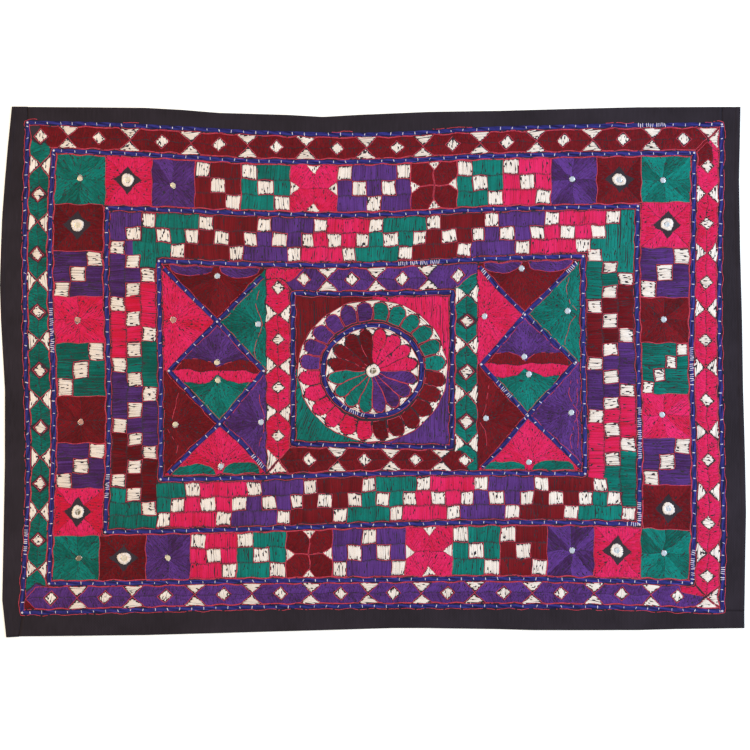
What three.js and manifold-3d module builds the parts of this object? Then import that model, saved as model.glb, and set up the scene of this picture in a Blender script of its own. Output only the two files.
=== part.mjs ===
// An embroidered cotton tablecloth with small mirrors, lying flat.
// Millimetres, +X to the right, +Y to the far edge, +Z up, origin under the middle of the cloth.
// The pattern is charted on a true rectangle, and worked() puts a chart point where the cloth has it.
import * as THREE from 'three';
import { mergeVertices } from 'three/addons/utils/BufferGeometryUtils.js';
import Module from 'manifold-3d';

// Thicknesses and small sizes
const COTTON = 1.0; // the ground cloth and the border strips
const WORKED = 1.6; // top of the satin stitches
const GAP = 0.3; // between one piece and the next
const BRAID = { width: 9, height: 1.2, lane: 5.5, slope: 1.2 };
const HEM = { width: 7, height: 1.6 };
const RINGED = { diameter: 9, height: 0.8, sides: 16 };
const SMALL = { diameter: 8, height: 0.8, sides: 12 };
const CHART_ABOVE_MIDDLE = 5.6; // the chart's middle lies this far above the cloth's

// Half widths and half depths of the five straight-sided braids on the chart
const FRAMES = [
  { name: 'braid_outer', x: 522, y: 359.5 },
  { name: 'braid_second', x: 481, y: 317.5 },
  { name: 'braid_third', x: 398, y: 235 },
  { name: 'braid_inner', x: 317.5, y: 158.5 },
  { name: 'braid_square', x: 119, y: 116 },
];
const [OUTER] = FRAMES;
const WHEEL = { x: 0, y: -1, acrossX: 74, acrossY: 69, steps: 40 };

// How far each braid line wanders off the straight, at stations along it
const STATIONS_X = [-520, -350, -175, 0, 175, 350, 520];
const WANDER_Y = [
  { line: -359.5, by: [-7, -3, 1.5, 3, 3, 1.5, -4.5] },
  { line: -317.5, by: [-5.5, -4.5, -1.5, 0, 2, -1, -5.5] },
  { line: -235, by: [-12, -10, -6, 0, 4, 2.5, -4] },
  { line: -158.5, by: [-9, -8.5, -5.5, 0.5, 1.5, 0, 0] },
  { line: -116, by: [-6, -6, 3, -0.5, -2.5, 3, 3] },
  { line: 116, by: [0, 1, -3, -4.5, 0.5, 9, 9] },
  { line: 158.5, by: [3, 3, -3, -3.5, 5.5, 10, 10] },
  { line: 235, by: [6, 4, -3, -5, 3.5, 7, 10] },
  { line: 317.5, by: [10, 3.5, -6.5, -7.5, 0.5, 4, 5.5] },
  { line: 359.5, by: [9, 4, -5.5, -9, -0.5, 4, 6] },
];
const STATIONS_Y = [-345, -230, -115, 0, 115, 230, 345];
const WANDER_X = [
  { line: -522, by: [-4, 2.5, 5, 1.5, 0, 0.5, 4] },
  { line: -481, by: [-5, -2.5, 2, 1.5, -3, -2.5, 3.5] },
  { line: -398, by: [-5, -3.5, 1.5, 1.5, -2, -1, -1] },
  { line: -317.5, by: [-2, -2, -0.5, -1, -3, -4, -4] },
  { line: -119, by: [-1, -1, -1, -1, -1, -1, -1] },
  { line: 119, by: [-1, -1, -1, -0.5, 0, 0, 0] },
  { line: 317.5, by: [0.5, 0.5, 0, -2, -2.5, -2.5, -2.5] },
  { line: 398, by: [1.5, 1.5, 2, 0, -2.5, -1, -1] },
  { line: 481, by: [-4, 0.5, 0, -3.5, -1.5, 0, 0.5] },
  { line: 522, by: [1.5, 3.5, 1, -1.5, -2.5, -0.5, 1] },
];

// Outer edges of the border: at is the place along the side, edge the place of the edge
const EDGES = {
  left: [
    { at: -398, edge: -550 }, { at: -342, edge: -556 }, { at: -290, edge: -555 }, { at: -132, edge: -552 },
    { at: -27, edge: -552 }, { at: 25, edge: -555 }, { at: 78, edge: -558 }, { at: 130, edge: -559.5 },
    { at: 183, edge: -558 }, { at: 235, edge: -556 }, { at: 288, edge: -552 }, { at: 340, edge: -547.5 },
    { at: 398, edge: -541.5 },
  ],
  right: [
    { at: -363, edge: 557 }, { at: -290, edge: 558 }, { at: -210, edge: 559.5 }, { at: -132, edge: 558 },
    { at: -27, edge: 555 }, { at: 78, edge: 553.5 }, { at: 183, edge: 550.5 }, { at: 288, edge: 549 },
    { at: 340, edge: 550 }, { at: 397.5, edge: 551 },
  ],
  top: [
    { at: -516, edge: 397.5 }, { at: -440, edge: 397 }, { at: -340, edge: 396 }, { at: -285, edge: 393 },
    { at: -232, edge: 388.5 }, { at: -127, edge: 385.5 }, { at: -75, edge: 382.5 }, { at: -22, edge: 385.5 },
    { at: 82, edge: 390 }, { at: 187, edge: 391.5 }, { at: 292, edge: 394.5 }, { at: 397, edge: 397 },
    { at: 523, edge: 397.5 },
  ],
  bottom: [
    { at: -532, edge: -396.5 }, { at: -340, edge: -394.5 }, { at: -232, edge: -391.5 }, { at: -127, edge: -388.5 },
    { at: -22, edge: -385.5 }, { at: 30, edge: -384 }, { at: 82, edge: -384 }, { at: 187, edge: -385.5 },
    { at: 240, edge: -387 }, { at: 397, edge: -387 }, { at: 450, edge: -385.5 }, { at: 557, edge: -384 },
  ],
};

// Zigzags of the two side panels, from corner to corner over two crossings
const HOURGLASSES = [
  {
    name: 'braid_hourglass_left',
    runs: [
      [[-307, 144], [-232, 71], [-163, -4], [-229, -84], [-304, -149]],
      [[-168, 144], [-232, 71], [-305, -2], [-229, -84], [-163, -148]],
    ],
  },
  {
    name: 'braid_hourglass_right',
    runs: [
      [[164, 147], [229, 78], [306, 4], [233, -71], [168, -144]],
      [[304, 148], [229, 78], [163, 7], [233, -71], [310, -143]],
    ],
  },
];

// Middles of the mirrors on the chart
const RINGED_AT = [
  [-366, 278], [371, 277], [-441, 210], [442, 206], [-441, -205], [442, -210], [-370, -277], [365, -274], [1, -2],
];
const SMALL_AT = [
  [-439, 278], [-296, 273], [301, 279], [435, 275], [-441, 73], [-440, -75], [438, 65], [433, -74],
  [-437, -277], [-305, -278], [298, -275], [436, -275],
  [-231, 140], [-298, 73], [-171, 68], [-233, 9], [-232, -18], [-296, -81], [-167, -83], [-227, -143],
  [224, 144], [168, 78], [294, 80], [228, 16], [235, -10], [170, -73], [298, -69], [234, -141],
];

// The value at one place of a list of values given at rising places, held level past its ends
function between(places, values, place) {
  const next = places.findIndex((p) => p >= place);
  if (next === 0) return values[0];
  if (next === -1) return values[values.length - 1];
  const share = (place - places[next - 1]) / (places[next] - places[next - 1]);
  return values[next - 1] + share * (values[next] - values[next - 1]);
}

function wander(rows, stations, across, along) {
  const lines = rows.map((row) => row.line);
  return between(lines, rows.map((row) => between(stations, row.by, along)), across);
}

// A chart point where the cloth has it
function worked(x, y) {
  return [
    x + wander(WANDER_X, STATIONS_Y, x, y),
    y + wander(WANDER_Y, STATIONS_X, y, x) + CHART_ABOVE_MIDDLE,
  ];
}

// A closed mesh from points and triangles
function mesh(points, triangles) {
  const geometry = new THREE.BufferGeometry();
  geometry.setAttribute('position', new THREE.Float32BufferAttribute(points.flat(), 3));
  geometry.setIndex(triangles.flat());
  geometry.computeVertexNormals();
  return geometry;
}

// Triangles between two neighbouring rows of points, wrapping round where the rows are closed
function strip(first, second, count, closed) {
  const triangles = [];
  for (let i = 0; i < (closed ? count : count - 1); i += 1) {
    const j = (i + 1) % count;
    triangles.push([first + i, first + j, second + j], [first + i, second + j, second + i]);
  }
  return triangles;
}

// A flat polygon's triangles, facing up or down, from the index of its first point
function filled(points, first, up) {
  const flat = points.map(([x, y]) => new THREE.Vector2(x, y));
  const faces = THREE.ShapeUtils.triangulateShape(flat, []);
  return faces.map((face) => (up ? face : [...face].reverse()).map((i) => i + first));
}

// A rectangle's outline on the chart, anticlockwise, with even steps along its sides
const STEPS = { along: 16, up: 12 };
function rectangle(x, y) {
  const points = [];
  const side = (from, to, steps) => {
    for (let i = 0; i < steps; i += 1) {
      const t = i / steps;
      points.push([from[0] + t * (to[0] - from[0]), from[1] + t * (to[1] - from[1])]);
    }
  };
  side([-x, -y], [x, -y], STEPS.along);
  side([x, -y], [x, y], STEPS.up);
  side([x, y], [-x, y], STEPS.along);
  side([-x, y], [-x, -y], STEPS.up);
  return points;
}

function ellipse({ x, y, acrossX, acrossY, steps }, out) {
  return Array.from({ length: steps }, (_, i) => {
    const angle = (2 * Math.PI * i) / steps;
    return [x + (acrossX + out) * Math.cos(angle), y + (acrossY + out) * Math.sin(angle)];
  });
}

const raised = (outline, z) => outline.map(([x, y]) => [...worked(x, y), z]);

// The worked panel: nested outlines, down into a lane under each straight braid
function panel() {
  const levels = [{ out: 0, z: 0 }, { out: 0, z: COTTON }];
  const outlines = levels.map(({ out, z }) => raised(rectangle(OUTER.x + out, OUTER.y + out), z));
  const lane = (frame, out, z) => outlines.push(raised(rectangle(frame.x + out, frame.y + out), z));
  FRAMES.forEach((frame, i) => {
    if (i > 0) {
      lane(frame, BRAID.lane + BRAID.slope, WORKED);
      lane(frame, BRAID.lane, COTTON);
    }
    lane(frame, -BRAID.lane, COTTON);
    lane(frame, -BRAID.lane - BRAID.slope, WORKED);
  });
  const count = outlines[0].length;
  const points = outlines.flat();
  const triangles = filled(outlines[0], 0, false);
  for (let i = 0; i + 1 < outlines.length; i += 1) {
    triangles.push(...strip(i * count, (i + 1) * count, count, true));
  }
  const last = outlines.length - 1;
  triangles.push(...filled(outlines[last], last * count, true));
  return mesh(points, triangles);
}

// A braid's section: how far out of its middle line, and how high over its underside
const HALF = BRAID.width / 2;
const SECTION = [
  { out: -HALF, up: 0 },
  { out: HALF, up: 0 },
  { out: HALF, up: BRAID.height / 2 },
  { out: HALF / 2, up: BRAID.height },
  { out: -HALF / 2, up: BRAID.height },
  { out: -HALF, up: BRAID.height / 2 },
];

// A braid that closes on itself
function closedBraid(outlineAt, base) {
  const rows = SECTION.map(({ out, up }) => raised(outlineAt(out), base + up));
  const count = rows[0].length;
  const triangles = rows.flatMap((_, i) => strip(i * count, ((i + 1) % rows.length) * count, count, true));
  return mesh(rows.flat(), triangles);
}

// A straight length of braid between two points of the cloth
function braidLength([ax, ay], [bx, by], base) {
  const reach = Math.hypot(bx - ax, by - ay);
  const across = [(by - ay) / reach, (ax - bx) / reach];
  const end = (x, y) => SECTION.map(({ out, up }) => [x + across[0] * out, y + across[1] * out, base + up]);
  const count = SECTION.length;
  const side = strip(0, count, count, true).map(([a, b, c]) => [a, c, b]);
  const cap = (first, turned) => {
    const faces = Array.from({ length: count - 2 }, (_, i) => [first, first + i + 1, first + i + 2]);
    return turned ? faces.map((face) => [...face].reverse()) : faces;
  };
  return mesh([...end(ax, ay), ...end(bx, by)], [...side, ...cap(0, false), ...cap(count, true)]);
}

const wasm = await Module();
wasm.setup();

function solid(geometry) {
  const bare = geometry.clone();
  bare.deleteAttribute('normal');
  const merged = mergeVertices(bare, 1e-4);
  return new wasm.Manifold(new wasm.Mesh({
    numProp: 3,
    vertProperties: new Float32Array(merged.attributes.position.array),
    triVerts: new Uint32Array(merged.index.array),
  }));
}

function unsolid(manifold) {
  const { vertProperties, triVerts } = manifold.getMesh();
  const geometry = new THREE.BufferGeometry();
  geometry.setAttribute('position', new THREE.BufferAttribute(new Float32Array(vertProperties), 3));
  geometry.setIndex(new THREE.BufferAttribute(new Uint32Array(triVerts), 1));
  geometry.computeVertexNormals();
  return geometry;
}

// A side panel's crossing braids, joined where they cross and under a small knot at each bend
const KNOT = { radius: 6.5, height: 1.5, sides: 10 };
function crossingBraids(runs, base) {
  const pieces = [];
  for (const run of runs) {
    const points = run.map(([x, y]) => worked(x, y));
    for (let i = 0; i + 1 < points.length; i += 1) {
      pieces.push(solid(braidLength(points[i], points[i + 1], base)));
    }
    for (const [x, y] of points.slice(1, -1)) {
      const knot = new THREE.CylinderGeometry(KNOT.radius * 0.7, KNOT.radius, KNOT.height, KNOT.sides);
      knot.deleteAttribute('uv');
      knot.rotateX(Math.PI / 2);
      knot.translate(x, y, base + KNOT.height / 2);
      pieces.push(solid(knot));
    }
  }
  return unsolid(pieces.reduce((whole, piece) => whole.add(piece)));
}

// A border strip: sections across it, from the seam at the panel out to the turned hem
function borderStrip(inner, outer) {
  const rows = inner.map(([x, y], i) => {
    const [edgeX, edgeY] = outer[i];
    const reach = Math.hypot(edgeX - x, edgeY - y);
    const at = (distance, z) => {
      const share = distance / reach;
      return [x + share * (edgeX - x), y + share * (edgeY - y), z];
    };
    const hemStart = reach - HEM.width;
    return [at(0, 0), at(reach, 0), at(reach, HEM.height), at(hemStart, HEM.height), at(hemStart - 1, COTTON),
      at(0, COTTON)];
  });
  const count = rows[0].length;
  const triangles = [];
  for (let i = 0; i + 1 < rows.length; i += 1) {
    triangles.push(...strip(i * count, (i + 1) * count, count, true).map(([a, b, c]) => [a, c, b]));
  }
  const cap = [[0, 1, 4], [0, 4, 5], [1, 2, 3], [1, 3, 4]];
  const last = (rows.length - 1) * count;
  triangles.push(...cap, ...cap.map((face) => [...face].reverse().map((i) => i + last)));
  return mesh(rows.flat(), triangles);
}

// The panel's edge, seen from the strips: a seam's gap outside the outer braid's middle line
const seam = {
  left: (y) => [worked(-OUTER.x, y)[0] - GAP, worked(-OUTER.x, y)[1]],
  right: (y) => [worked(OUTER.x, y)[0] + GAP, worked(OUTER.x, y)[1]],
  top: (x) => [worked(x, OUTER.y)[0], worked(x, OUTER.y)[1] + GAP],
  bottom: (x) => [worked(x, -OUTER.y)[0], worked(x, -OUTER.y)[1] - GAP],
};
const edgeAt = (side, at) => between(EDGES[side].map((row) => row.at), EDGES[side].map((row) => row.edge), at);
const even = (from, to, steps) => Array.from({ length: steps + 1 }, (_, i) => from + ((to - from) * i) / steps);

// The left strip runs the full height; its seam leans out below the panel
const SEAM_FOOT = -531;
const leftHeights = even(-OUTER.y, OUTER.y, STEPS.up);
const leftSeam = [[SEAM_FOOT, -397], ...leftHeights.map(seam.left), [seam.left(OUTER.y)[0], EDGES.left.at(-1).at]];
const leftEdge = leftSeam.map(([, y], i) => {
  const height = i === 0 ? EDGES.left[0].at : y;
  return [edgeAt('left', height), height];
});

// The top strip lies between the left and the right one
const topLeft = seam.left(OUTER.y)[0] + GAP;
const topRight = seam.right(OUTER.y)[0] - GAP;
const topSeam = even(-OUTER.x, OUTER.x, STEPS.along).map(seam.top);
topSeam[0][0] = topLeft;
topSeam[topSeam.length - 1][0] = topRight;
const topEdge = topSeam.map(([x]) => [x, edgeAt('top', x)]);

// The right strip runs from the top edge down to the bottom strip
const rightHeights = even(-OUTER.y, OUTER.y, STEPS.up);
const rightSeam = [...rightHeights.map(seam.right), [seam.right(OUTER.y)[0], 397.5]];
const rightEdge = rightSeam.map(([, y]) => [edgeAt('right', y), y]);

// The bottom strip runs from the left strip to the right edge
const bottomSeam = even(-OUTER.x, OUTER.x, STEPS.along).map(seam.bottom);
const bottomEdge = bottomSeam.map(([x]) => [x, edgeAt('bottom', x)]);
bottomEdge[0][0] = SEAM_FOOT + GAP;
bottomSeam.push([edgeAt('right', EDGES.right[0].at), rightSeam[0][1] - GAP]);
bottomEdge.push([557, edgeAt('bottom', 557)]);

const cloth = new THREE.MeshStandardMaterial({ color: 0x35313a, roughness: 0.95, metalness: 0 });
const stitched = new THREE.MeshStandardMaterial({ color: 0x8a1f45, roughness: 0.6, metalness: 0 });
const braidThread = new THREE.MeshStandardMaterial({ color: 0x2c2a86, roughness: 0.6, metalness: 0 });
const glass = new THREE.MeshStandardMaterial({ color: 0xdfe6ea, roughness: 0.08, metalness: 1 });

const tablecloth = new THREE.Group();
function add(name, geometry, material) {
  const piece = new THREE.Mesh(geometry, material);
  piece.name = name;
  tablecloth.add(piece);
  return piece;
}

add('embroidered_panel', panel(), stitched);
add('border_left', borderStrip([...leftSeam].reverse(), [...leftEdge].reverse()), cloth);
add('border_top', borderStrip([...topSeam].reverse(), [...topEdge].reverse()), cloth);
add('border_right', borderStrip(rightSeam, rightEdge), cloth);
add('border_bottom', borderStrip(bottomSeam, bottomEdge), cloth);

for (const frame of FRAMES) {
  add(frame.name, closedBraid((out) => rectangle(frame.x + out, frame.y + out), COTTON + GAP), braidThread);
}
add('braid_ring', closedBraid((out) => ellipse(WHEEL, out), WORKED + GAP), braidThread);
for (const { name, runs } of HOURGLASSES) {
  add(name, crossingBraids(runs, WORKED + GAP), braidThread);
}

function mirror(name, [x, y], size) {
  const disc = new THREE.CylinderGeometry(size.diameter / 2, size.diameter / 2, size.height, size.sides);
  disc.rotateX(Math.PI / 2);
  const piece = add(name, disc, glass);
  const [across, up] = worked(x, y);
  piece.position.set(across, up, WORKED + GAP + size.height / 2);
}
RINGED_AT.forEach((place, i) => mirror(`ringed_mirror_${i + 1}`, place, RINGED));
SMALL_AT.forEach((place, i) => mirror(`small_mirror_${String(i + 1).padStart(2, '0')}`, place, SMALL));

export default tablecloth;
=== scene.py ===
"""An embroidered cotton tablecloth with small mirrors, laid flat.

The pattern is charted in millimetres on a true rectangle, +X to the right and +Y to the far edge.
worked() puts a chart point where the uneven cloth has it, and placed() gives it in metres.
"""
import math
from functools import partial

import bpy
import numpy as np
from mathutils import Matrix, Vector


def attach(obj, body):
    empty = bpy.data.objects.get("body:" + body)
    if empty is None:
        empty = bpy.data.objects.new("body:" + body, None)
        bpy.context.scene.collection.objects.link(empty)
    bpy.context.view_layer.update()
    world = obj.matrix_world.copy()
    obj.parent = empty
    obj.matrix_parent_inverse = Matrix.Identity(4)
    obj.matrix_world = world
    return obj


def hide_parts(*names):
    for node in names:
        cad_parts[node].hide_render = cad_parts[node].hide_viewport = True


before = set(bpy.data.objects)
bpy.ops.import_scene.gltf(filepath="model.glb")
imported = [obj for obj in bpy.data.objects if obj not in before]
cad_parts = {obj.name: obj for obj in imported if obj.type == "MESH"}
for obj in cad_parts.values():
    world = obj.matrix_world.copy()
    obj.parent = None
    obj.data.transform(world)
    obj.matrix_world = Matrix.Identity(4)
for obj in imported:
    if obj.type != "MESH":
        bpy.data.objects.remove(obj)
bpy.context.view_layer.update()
hand = np.random.default_rng(1911)

# Thicknesses, in millimetres above the table
COTTON = 1.0
WORKED = 1.6
GAP = 0.3
CHART_ABOVE_MIDDLE = 5.6

# Half widths and half depths of the straight-sided braids
OUTER = (522, 359.5)
SECOND = (481, 317.5)
THIRD = (398, 235)
INNER = (317.5, 158.5)
SQUARE = (119, 116)
WHEEL = {"middle": (0, -1), "across": (74, 69)}

# How far each braid line wanders off the straight: a row for each line, a column for each station
STATIONS_X = np.array([-520, -350, -175, 0, 175, 350, 520])
LINES_Y = np.array([-359.5, -317.5, -235, -158.5, -116, 116, 158.5, 235, 317.5, 359.5])
WANDER_Y = np.array([
    [-7, -3, 1.5, 3, 3, 1.5, -4.5],
    [-5.5, -4.5, -1.5, 0, 2, -1, -5.5],
    [-12, -10, -6, 0, 4, 2.5, -4],
    [-9, -8.5, -5.5, 0.5, 1.5, 0, 0],
    [-6, -6, 3, -0.5, -2.5, 3, 3],
    [0, 1, -3, -4.5, 0.5, 9, 9],
    [3, 3, -3, -3.5, 5.5, 10, 10],
    [6, 4, -3, -5, 3.5, 7, 10],
    [10, 3.5, -6.5, -7.5, 0.5, 4, 5.5],
    [9, 4, -5.5, -9, -0.5, 4, 6],
])
STATIONS_Y = np.array([-345, -230, -115, 0, 115, 230, 345])
LINES_X = np.array([-522, -481, -398, -317.5, -119, 119, 317.5, 398, 481, 522])
WANDER_X = np.array([
    [-4, 2.5, 5, 1.5, 0, 0.5, 4],
    [-5, -2.5, 2, 1.5, -3, -2.5, 3.5],
    [-5, -3.5, 1.5, 1.5, -2, -1, -1],
    [-2, -2, -0.5, -1, -3, -4, -4],
    [-1, -1, -1, -1, -1, -1, -1],
    [-1, -1, -1, -0.5, 0, 0, 0],
    [0.5, 0.5, 0, -2, -2.5, -2.5, -2.5],
    [1.5, 1.5, 2, 0, -2.5, -1, -1],
    [-4, 0.5, 0, -3.5, -1.5, 0, 0.5],
    [1.5, 3.5, 1, -1.5, -2.5, -0.5, 1],
])


def share_of(places, at):
    """The interval of places that each value is in, and how far along it."""
    first = np.clip(np.searchsorted(places, at) - 1, 0, len(places) - 2)
    share = (at - places[first]) / (places[first + 1] - places[first])
    return first, np.clip(share, 0, 1)


def wander(lines, table, stations, across, along):
    """How far off the straight the cloth's lines are, eased from station to station."""
    line, between = share_of(lines, across)
    at, t = share_of(stations, along)
    last = len(stations) - 1

    def smooth(row):
        before, here = table[row, np.maximum(at - 1, 0)], table[row, at]
        after, beyond = table[row, at + 1], table[row, np.minimum(at + 2, last)]
        slope_in, slope_out = (after - before) / 2, (beyond - here) / 2
        return (
            here * (2 * t**3 - 3 * t**2 + 1)
            + slope_in * (t**3 - 2 * t**2 + t)
            + after * (3 * t**2 - 2 * t**3)
            + slope_out * (t**3 - t**2)
        )

    return smooth(line) * (1 - between) + smooth(line + 1) * between


def worked(points):
    """Chart points where the cloth has them, in millimetres."""
    x, y = np.asarray(points, float).T
    return np.stack(
        [
            x + wander(LINES_X, WANDER_X, STATIONS_Y, x, y),
            y + wander(LINES_Y, WANDER_Y, STATIONS_X, y, x) + CHART_ABOVE_MIDDLE,
        ],
        axis=1,
    )


# How far hand-drawn lines stray, in a slow wave and a quick one
SLOW_STRAY, QUICK_STRAY = 0.8, 0.5
# How high the stitches pucker the cloth: in broad swells, in fine ones and on the whole
PUCKER = {"swell": 0.55, "fine": 0.18, "mean": 0.35}


def uneven(points):
    """Chart points a little off where they should be, as hand-drawn lines are."""
    x, y = np.asarray(points, float).T
    slow_x = np.sin(y / 5.9 + 1.3 * np.sin(x / 17))
    slow_y = np.sin(x / 6.3 + 1.3 * np.cos(y / 15))
    quick_x = np.sin(x / 3.7 + y / 4.3)
    quick_y = np.sin(y / 3.9 - x / 4.7)
    return np.stack(
        [
            x + SLOW_STRAY * slow_x + QUICK_STRAY * quick_x,
            y + SLOW_STRAY * slow_y + QUICK_STRAY * quick_y,
        ],
        axis=1,
    )


def lift(x, y):
    """How far the cloth stands off the table, in millimetres, where the stitches pucker it."""
    swell = np.sin(x / 61 + 0.6) * np.cos(y / 47 - 0.4) + 0.6 * np.sin(x / 29 - y / 38)
    fine = np.sin(x / 13.0 + 2 * np.sin(y / 41)) * np.sin(y / 15.5 + 1.5 * np.sin(x / 53))
    return np.maximum(PUCKER["swell"] * swell + PUCKER["fine"] * fine + PUCKER["mean"], 0)


def placed(flat, z):
    """Cloth points in metres, lifted with the cloth."""
    x, y = flat.T
    return np.stack([x, y, z + lift(x, y)], axis=1) / 1000


def rectangle_between(x0, y0, x1, y1):
    return np.array([(x0, y0), (x1, y0), (x1, y1), (x0, y1)], float)


def resampled(points, step, closed=True):
    """A polyline again with points about step apart, its corners kept."""
    points = np.asarray(points, float)
    if closed:
        points = np.vstack([points, points[:1]])
    line = []
    for a, b in zip(points[:-1], points[1:]):
        pieces = max(1, round(float(np.hypot(*(b - a))) / step))
        line.extend(a + (b - a) * i / pieces for i in range(pieces))
    if not closed:
        line.append(points[-1])
    return np.array(line)


# What each thread has sewn: start x and y, end x and y, width, foot, crown and tone
sewn = {name: [] for name in ("pink", "maroon", "green", "purple", "ivory", "red", "white")}


def sew(thread, start, end, width, foot, crown, tone):
    """One stitch: its foot and crown are heights above the table."""
    sewn[thread].append((*start, *end, width, foot, crown, tone))


# How each thread is laid when it fills an area
FLOSS = {"pitch": 1.45, "width": 1.55, "reach": 10, "bare": 0.13, "spot": (0.9, 3.2), "ragged": 0.5,
         "edge": 0.3}
BLOCK = {"pitch": 1.5, "width": 1.6, "reach": 26, "bare": 0.24, "spot": (0.9, 3.8), "ragged": 0.6,
         "edge": 0.3}
IVORY = {"pitch": 1.7, "width": 1.8, "reach": 26, "bare": 0.32, "spot": (1.3, 5.0), "ragged": 1.0,
         "edge": 0.5}
CROWN_RISE = 0.75
# Stitch lengths as shares of the thread's reach: the first in a run, the others, and the least left over
FIRST_STITCH, NEXT_STITCH, LEFT_OVER = (0.35, 1.0), (0.8, 1.15), 0.3
SHORTEST = {"stitch": 0.9, "run": 1.2, "beside_bare": 2}
# Tones from 0 to 1: an area's own, the painted sheen that an upright thread adds, the painted light that
# grows toward the right side, and a stitch's spread
TONE = {"area": (0.28, 0.58), "upright_painted_sheen": 0.3, "right_side_painted_light": 0.12, "spread": 0.13}
# How far a stitch strays from its row and how far it slants, as shares of the pitch
STRAY, SLANT = 0.15, 0.14


def cut_up(length, reach, bare, spot):
    """The stitches in a run of thread, as pairs of start and end: some leave a bare spot."""
    cuts = [0.0]
    at = reach * hand.uniform(*FIRST_STITCH)
    while length > reach and at < length - LEFT_OVER * reach:
        cuts.append(at)
        at += reach * hand.uniform(*NEXT_STITCH)
    cuts.append(length)
    made = []
    for near, far in zip(cuts[:-1], cuts[1:]):
        gap = hand.uniform(*spot)
        if hand.random() < bare and far - near > gap + SHORTEST["beside_bare"]:
            at = hand.uniform(near, far - gap)
            made.extend([(near, at), (at + gap, far)])
        else:
            made.append((near, far))
    return [(near, far) for near, far in made if far - near > SHORTEST["stitch"]]


def fill(thread, rings, degrees, lay=FLOSS, shade=0.0):
    """Covers the area inside the rings with parallel stitches that lie at the angle given; shade adds a
    painted sheen to their tone.
    """
    turn = math.radians(degrees)
    ahead = np.array([math.cos(turn), math.sin(turn)])
    left = np.array([-ahead[1], ahead[0]])
    starts = np.vstack([np.asarray(ring, float) for ring in rings])
    ends = np.vstack([np.roll(np.asarray(ring, float), -1, axis=0) for ring in rings])
    start_on, start_off = starts @ ahead, starts @ left
    end_on, end_off = ends @ ahead, ends @ left
    # Painted sheen: upright threads get a lighter tone than level ones, as the light falls on them
    tone = hand.uniform(*TONE["area"]) + TONE["upright_painted_sheen"] * (abs(ahead[1]) - 0.5)
    # Painted light: stitches grow lighter toward the right side of the cloth, where the light is
    # brighter
    tone += TONE["right_side_painted_light"] * starts[0, 0] / OUTER[0] + shade
    row = start_off.min() + lay["pitch"] * 0.5
    while row < start_off.max() - lay["edge"] * 0.5:
        crossing = (start_off <= row) != (end_off <= row)
        run = (row - start_off[crossing]) / (end_off[crossing] - start_off[crossing])
        on = np.sort(start_on[crossing] + run * (end_on[crossing] - start_on[crossing]))
        for first, last in zip(on[::2], on[1::2]):
            first = first + lay["edge"] + hand.uniform(-1, 1) * lay["ragged"]
            last = last - lay["edge"] + hand.uniform(-1, 1) * lay["ragged"]
            if last - first < SHORTEST["run"]:
                continue
            for near, far in cut_up(last - first, lay["reach"], lay["bare"], lay["spot"]):
                drift = row + hand.uniform(-STRAY, STRAY) * lay["pitch"]
                slant = drift + hand.uniform(-SLANT, SLANT) * lay["pitch"]
                sew(
                    thread,
                    ahead * (first + near) + left * drift,
                    ahead * (first + far) + left * slant,
                    lay["width"] * hand.uniform(0.88, 1.12),
                    COTTON,
                    COTTON + CROWN_RISE * hand.uniform(0.85, 1.2),
                    np.clip(tone + hand.normal(0, TONE["spread"]), 0, 1),
                )
        row += lay["pitch"]


def half_of(ring, point, heading):
    """The part of a ring on the left of a line through the point."""
    off = (ring - point) @ np.array([-heading[1], heading[0]])
    kept = []
    for i, a in enumerate(ring):
        j = (i + 1) % len(ring)
        if off[i] >= 0:
            kept.append(a)
        if (off[i] >= 0) != (off[j] >= 0):
            kept.append(a + (ring[j] - a) * off[i] / (off[i] - off[j]))
    return np.array(kept)


def fan(thread, ring, middle, sectors):
    """Covers a ring with stitches that spread from a middle, in a number of sectors."""
    ring, middle = np.asarray(ring, float), np.asarray(middle, float)
    for i in range(sectors):
        low, high = (2 * math.pi * (i + k) / sectors for k in (0, 1))
        part = half_of(ring, middle, (math.cos(low), math.sin(low)))
        if len(part) > 2:
            part = half_of(part, middle, (-math.cos(high), -math.sin(high)))
        if len(part) > 2:
            fill(thread, [part], math.degrees((low + high) / 2))


def inside(point, boxes):
    """Whether a point is in any of the boxes, each given by its low x and y and its high x and y."""
    x, y = point
    return any(x0 < x < x1 and y0 < y < y1 for x0, y0, x1, y1 in boxes)


OUTLINE = {"step": 5.9, "width": 0.92, "foot": 0.3, "crown": 0.98, "wobble": 0.35, "overlap": 0.05}
WORN = 0.04  # the share of an outline's stitches that is worn away, if nothing else is said


def outline(points, closed=True, rest=WORN, lost=()):
    """A line of red back stitch: some stitches are worn away, and all of those in the lost boxes."""
    line = resampled(points, OUTLINE["step"], closed)
    line = line + hand.uniform(-1, 1, line.shape) * OUTLINE["wobble"]
    ends = np.roll(line, -1, axis=0) if closed else line[1:]
    for start, end in zip(line, ends):
        if hand.random() < rest or inside(start, lost):
            continue
        reach = (end - start) * OUTLINE["overlap"]
        foot = COTTON + OUTLINE["foot"]
        crown = COTTON + OUTLINE["crown"] * hand.uniform(0.9, 1.1)
        sew("red", start - reach, end + reach, OUTLINE["width"], foot, crown, hand.uniform(0.2, 0.8))


# A side's own directions: along it, and out from the middle of the cloth
SIDES = {
    "top": lambda p: np.stack([p[:, 0], p[:, 1]], axis=1),
    "bottom": lambda p: np.stack([p[:, 0], -p[:, 1]], axis=1),
    "left": lambda p: np.stack([-p[:, 1], p[:, 0]], axis=1),
    "right": lambda p: np.stack([p[:, 1], p[:, 0]], axis=1),
}


def on_side(side, points):
    """Chart points, from points that are given along a side and out from the middle."""
    return SIDES[side](np.asarray(points, float))


def side_angle(side, degrees):
    """The chart angle of a direction that is given from a side's own along."""
    turn = math.radians(degrees)
    x, y = on_side(side, [(math.cos(turn), math.sin(turn))])[0]
    return math.degrees(math.atan2(y, x))


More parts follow.
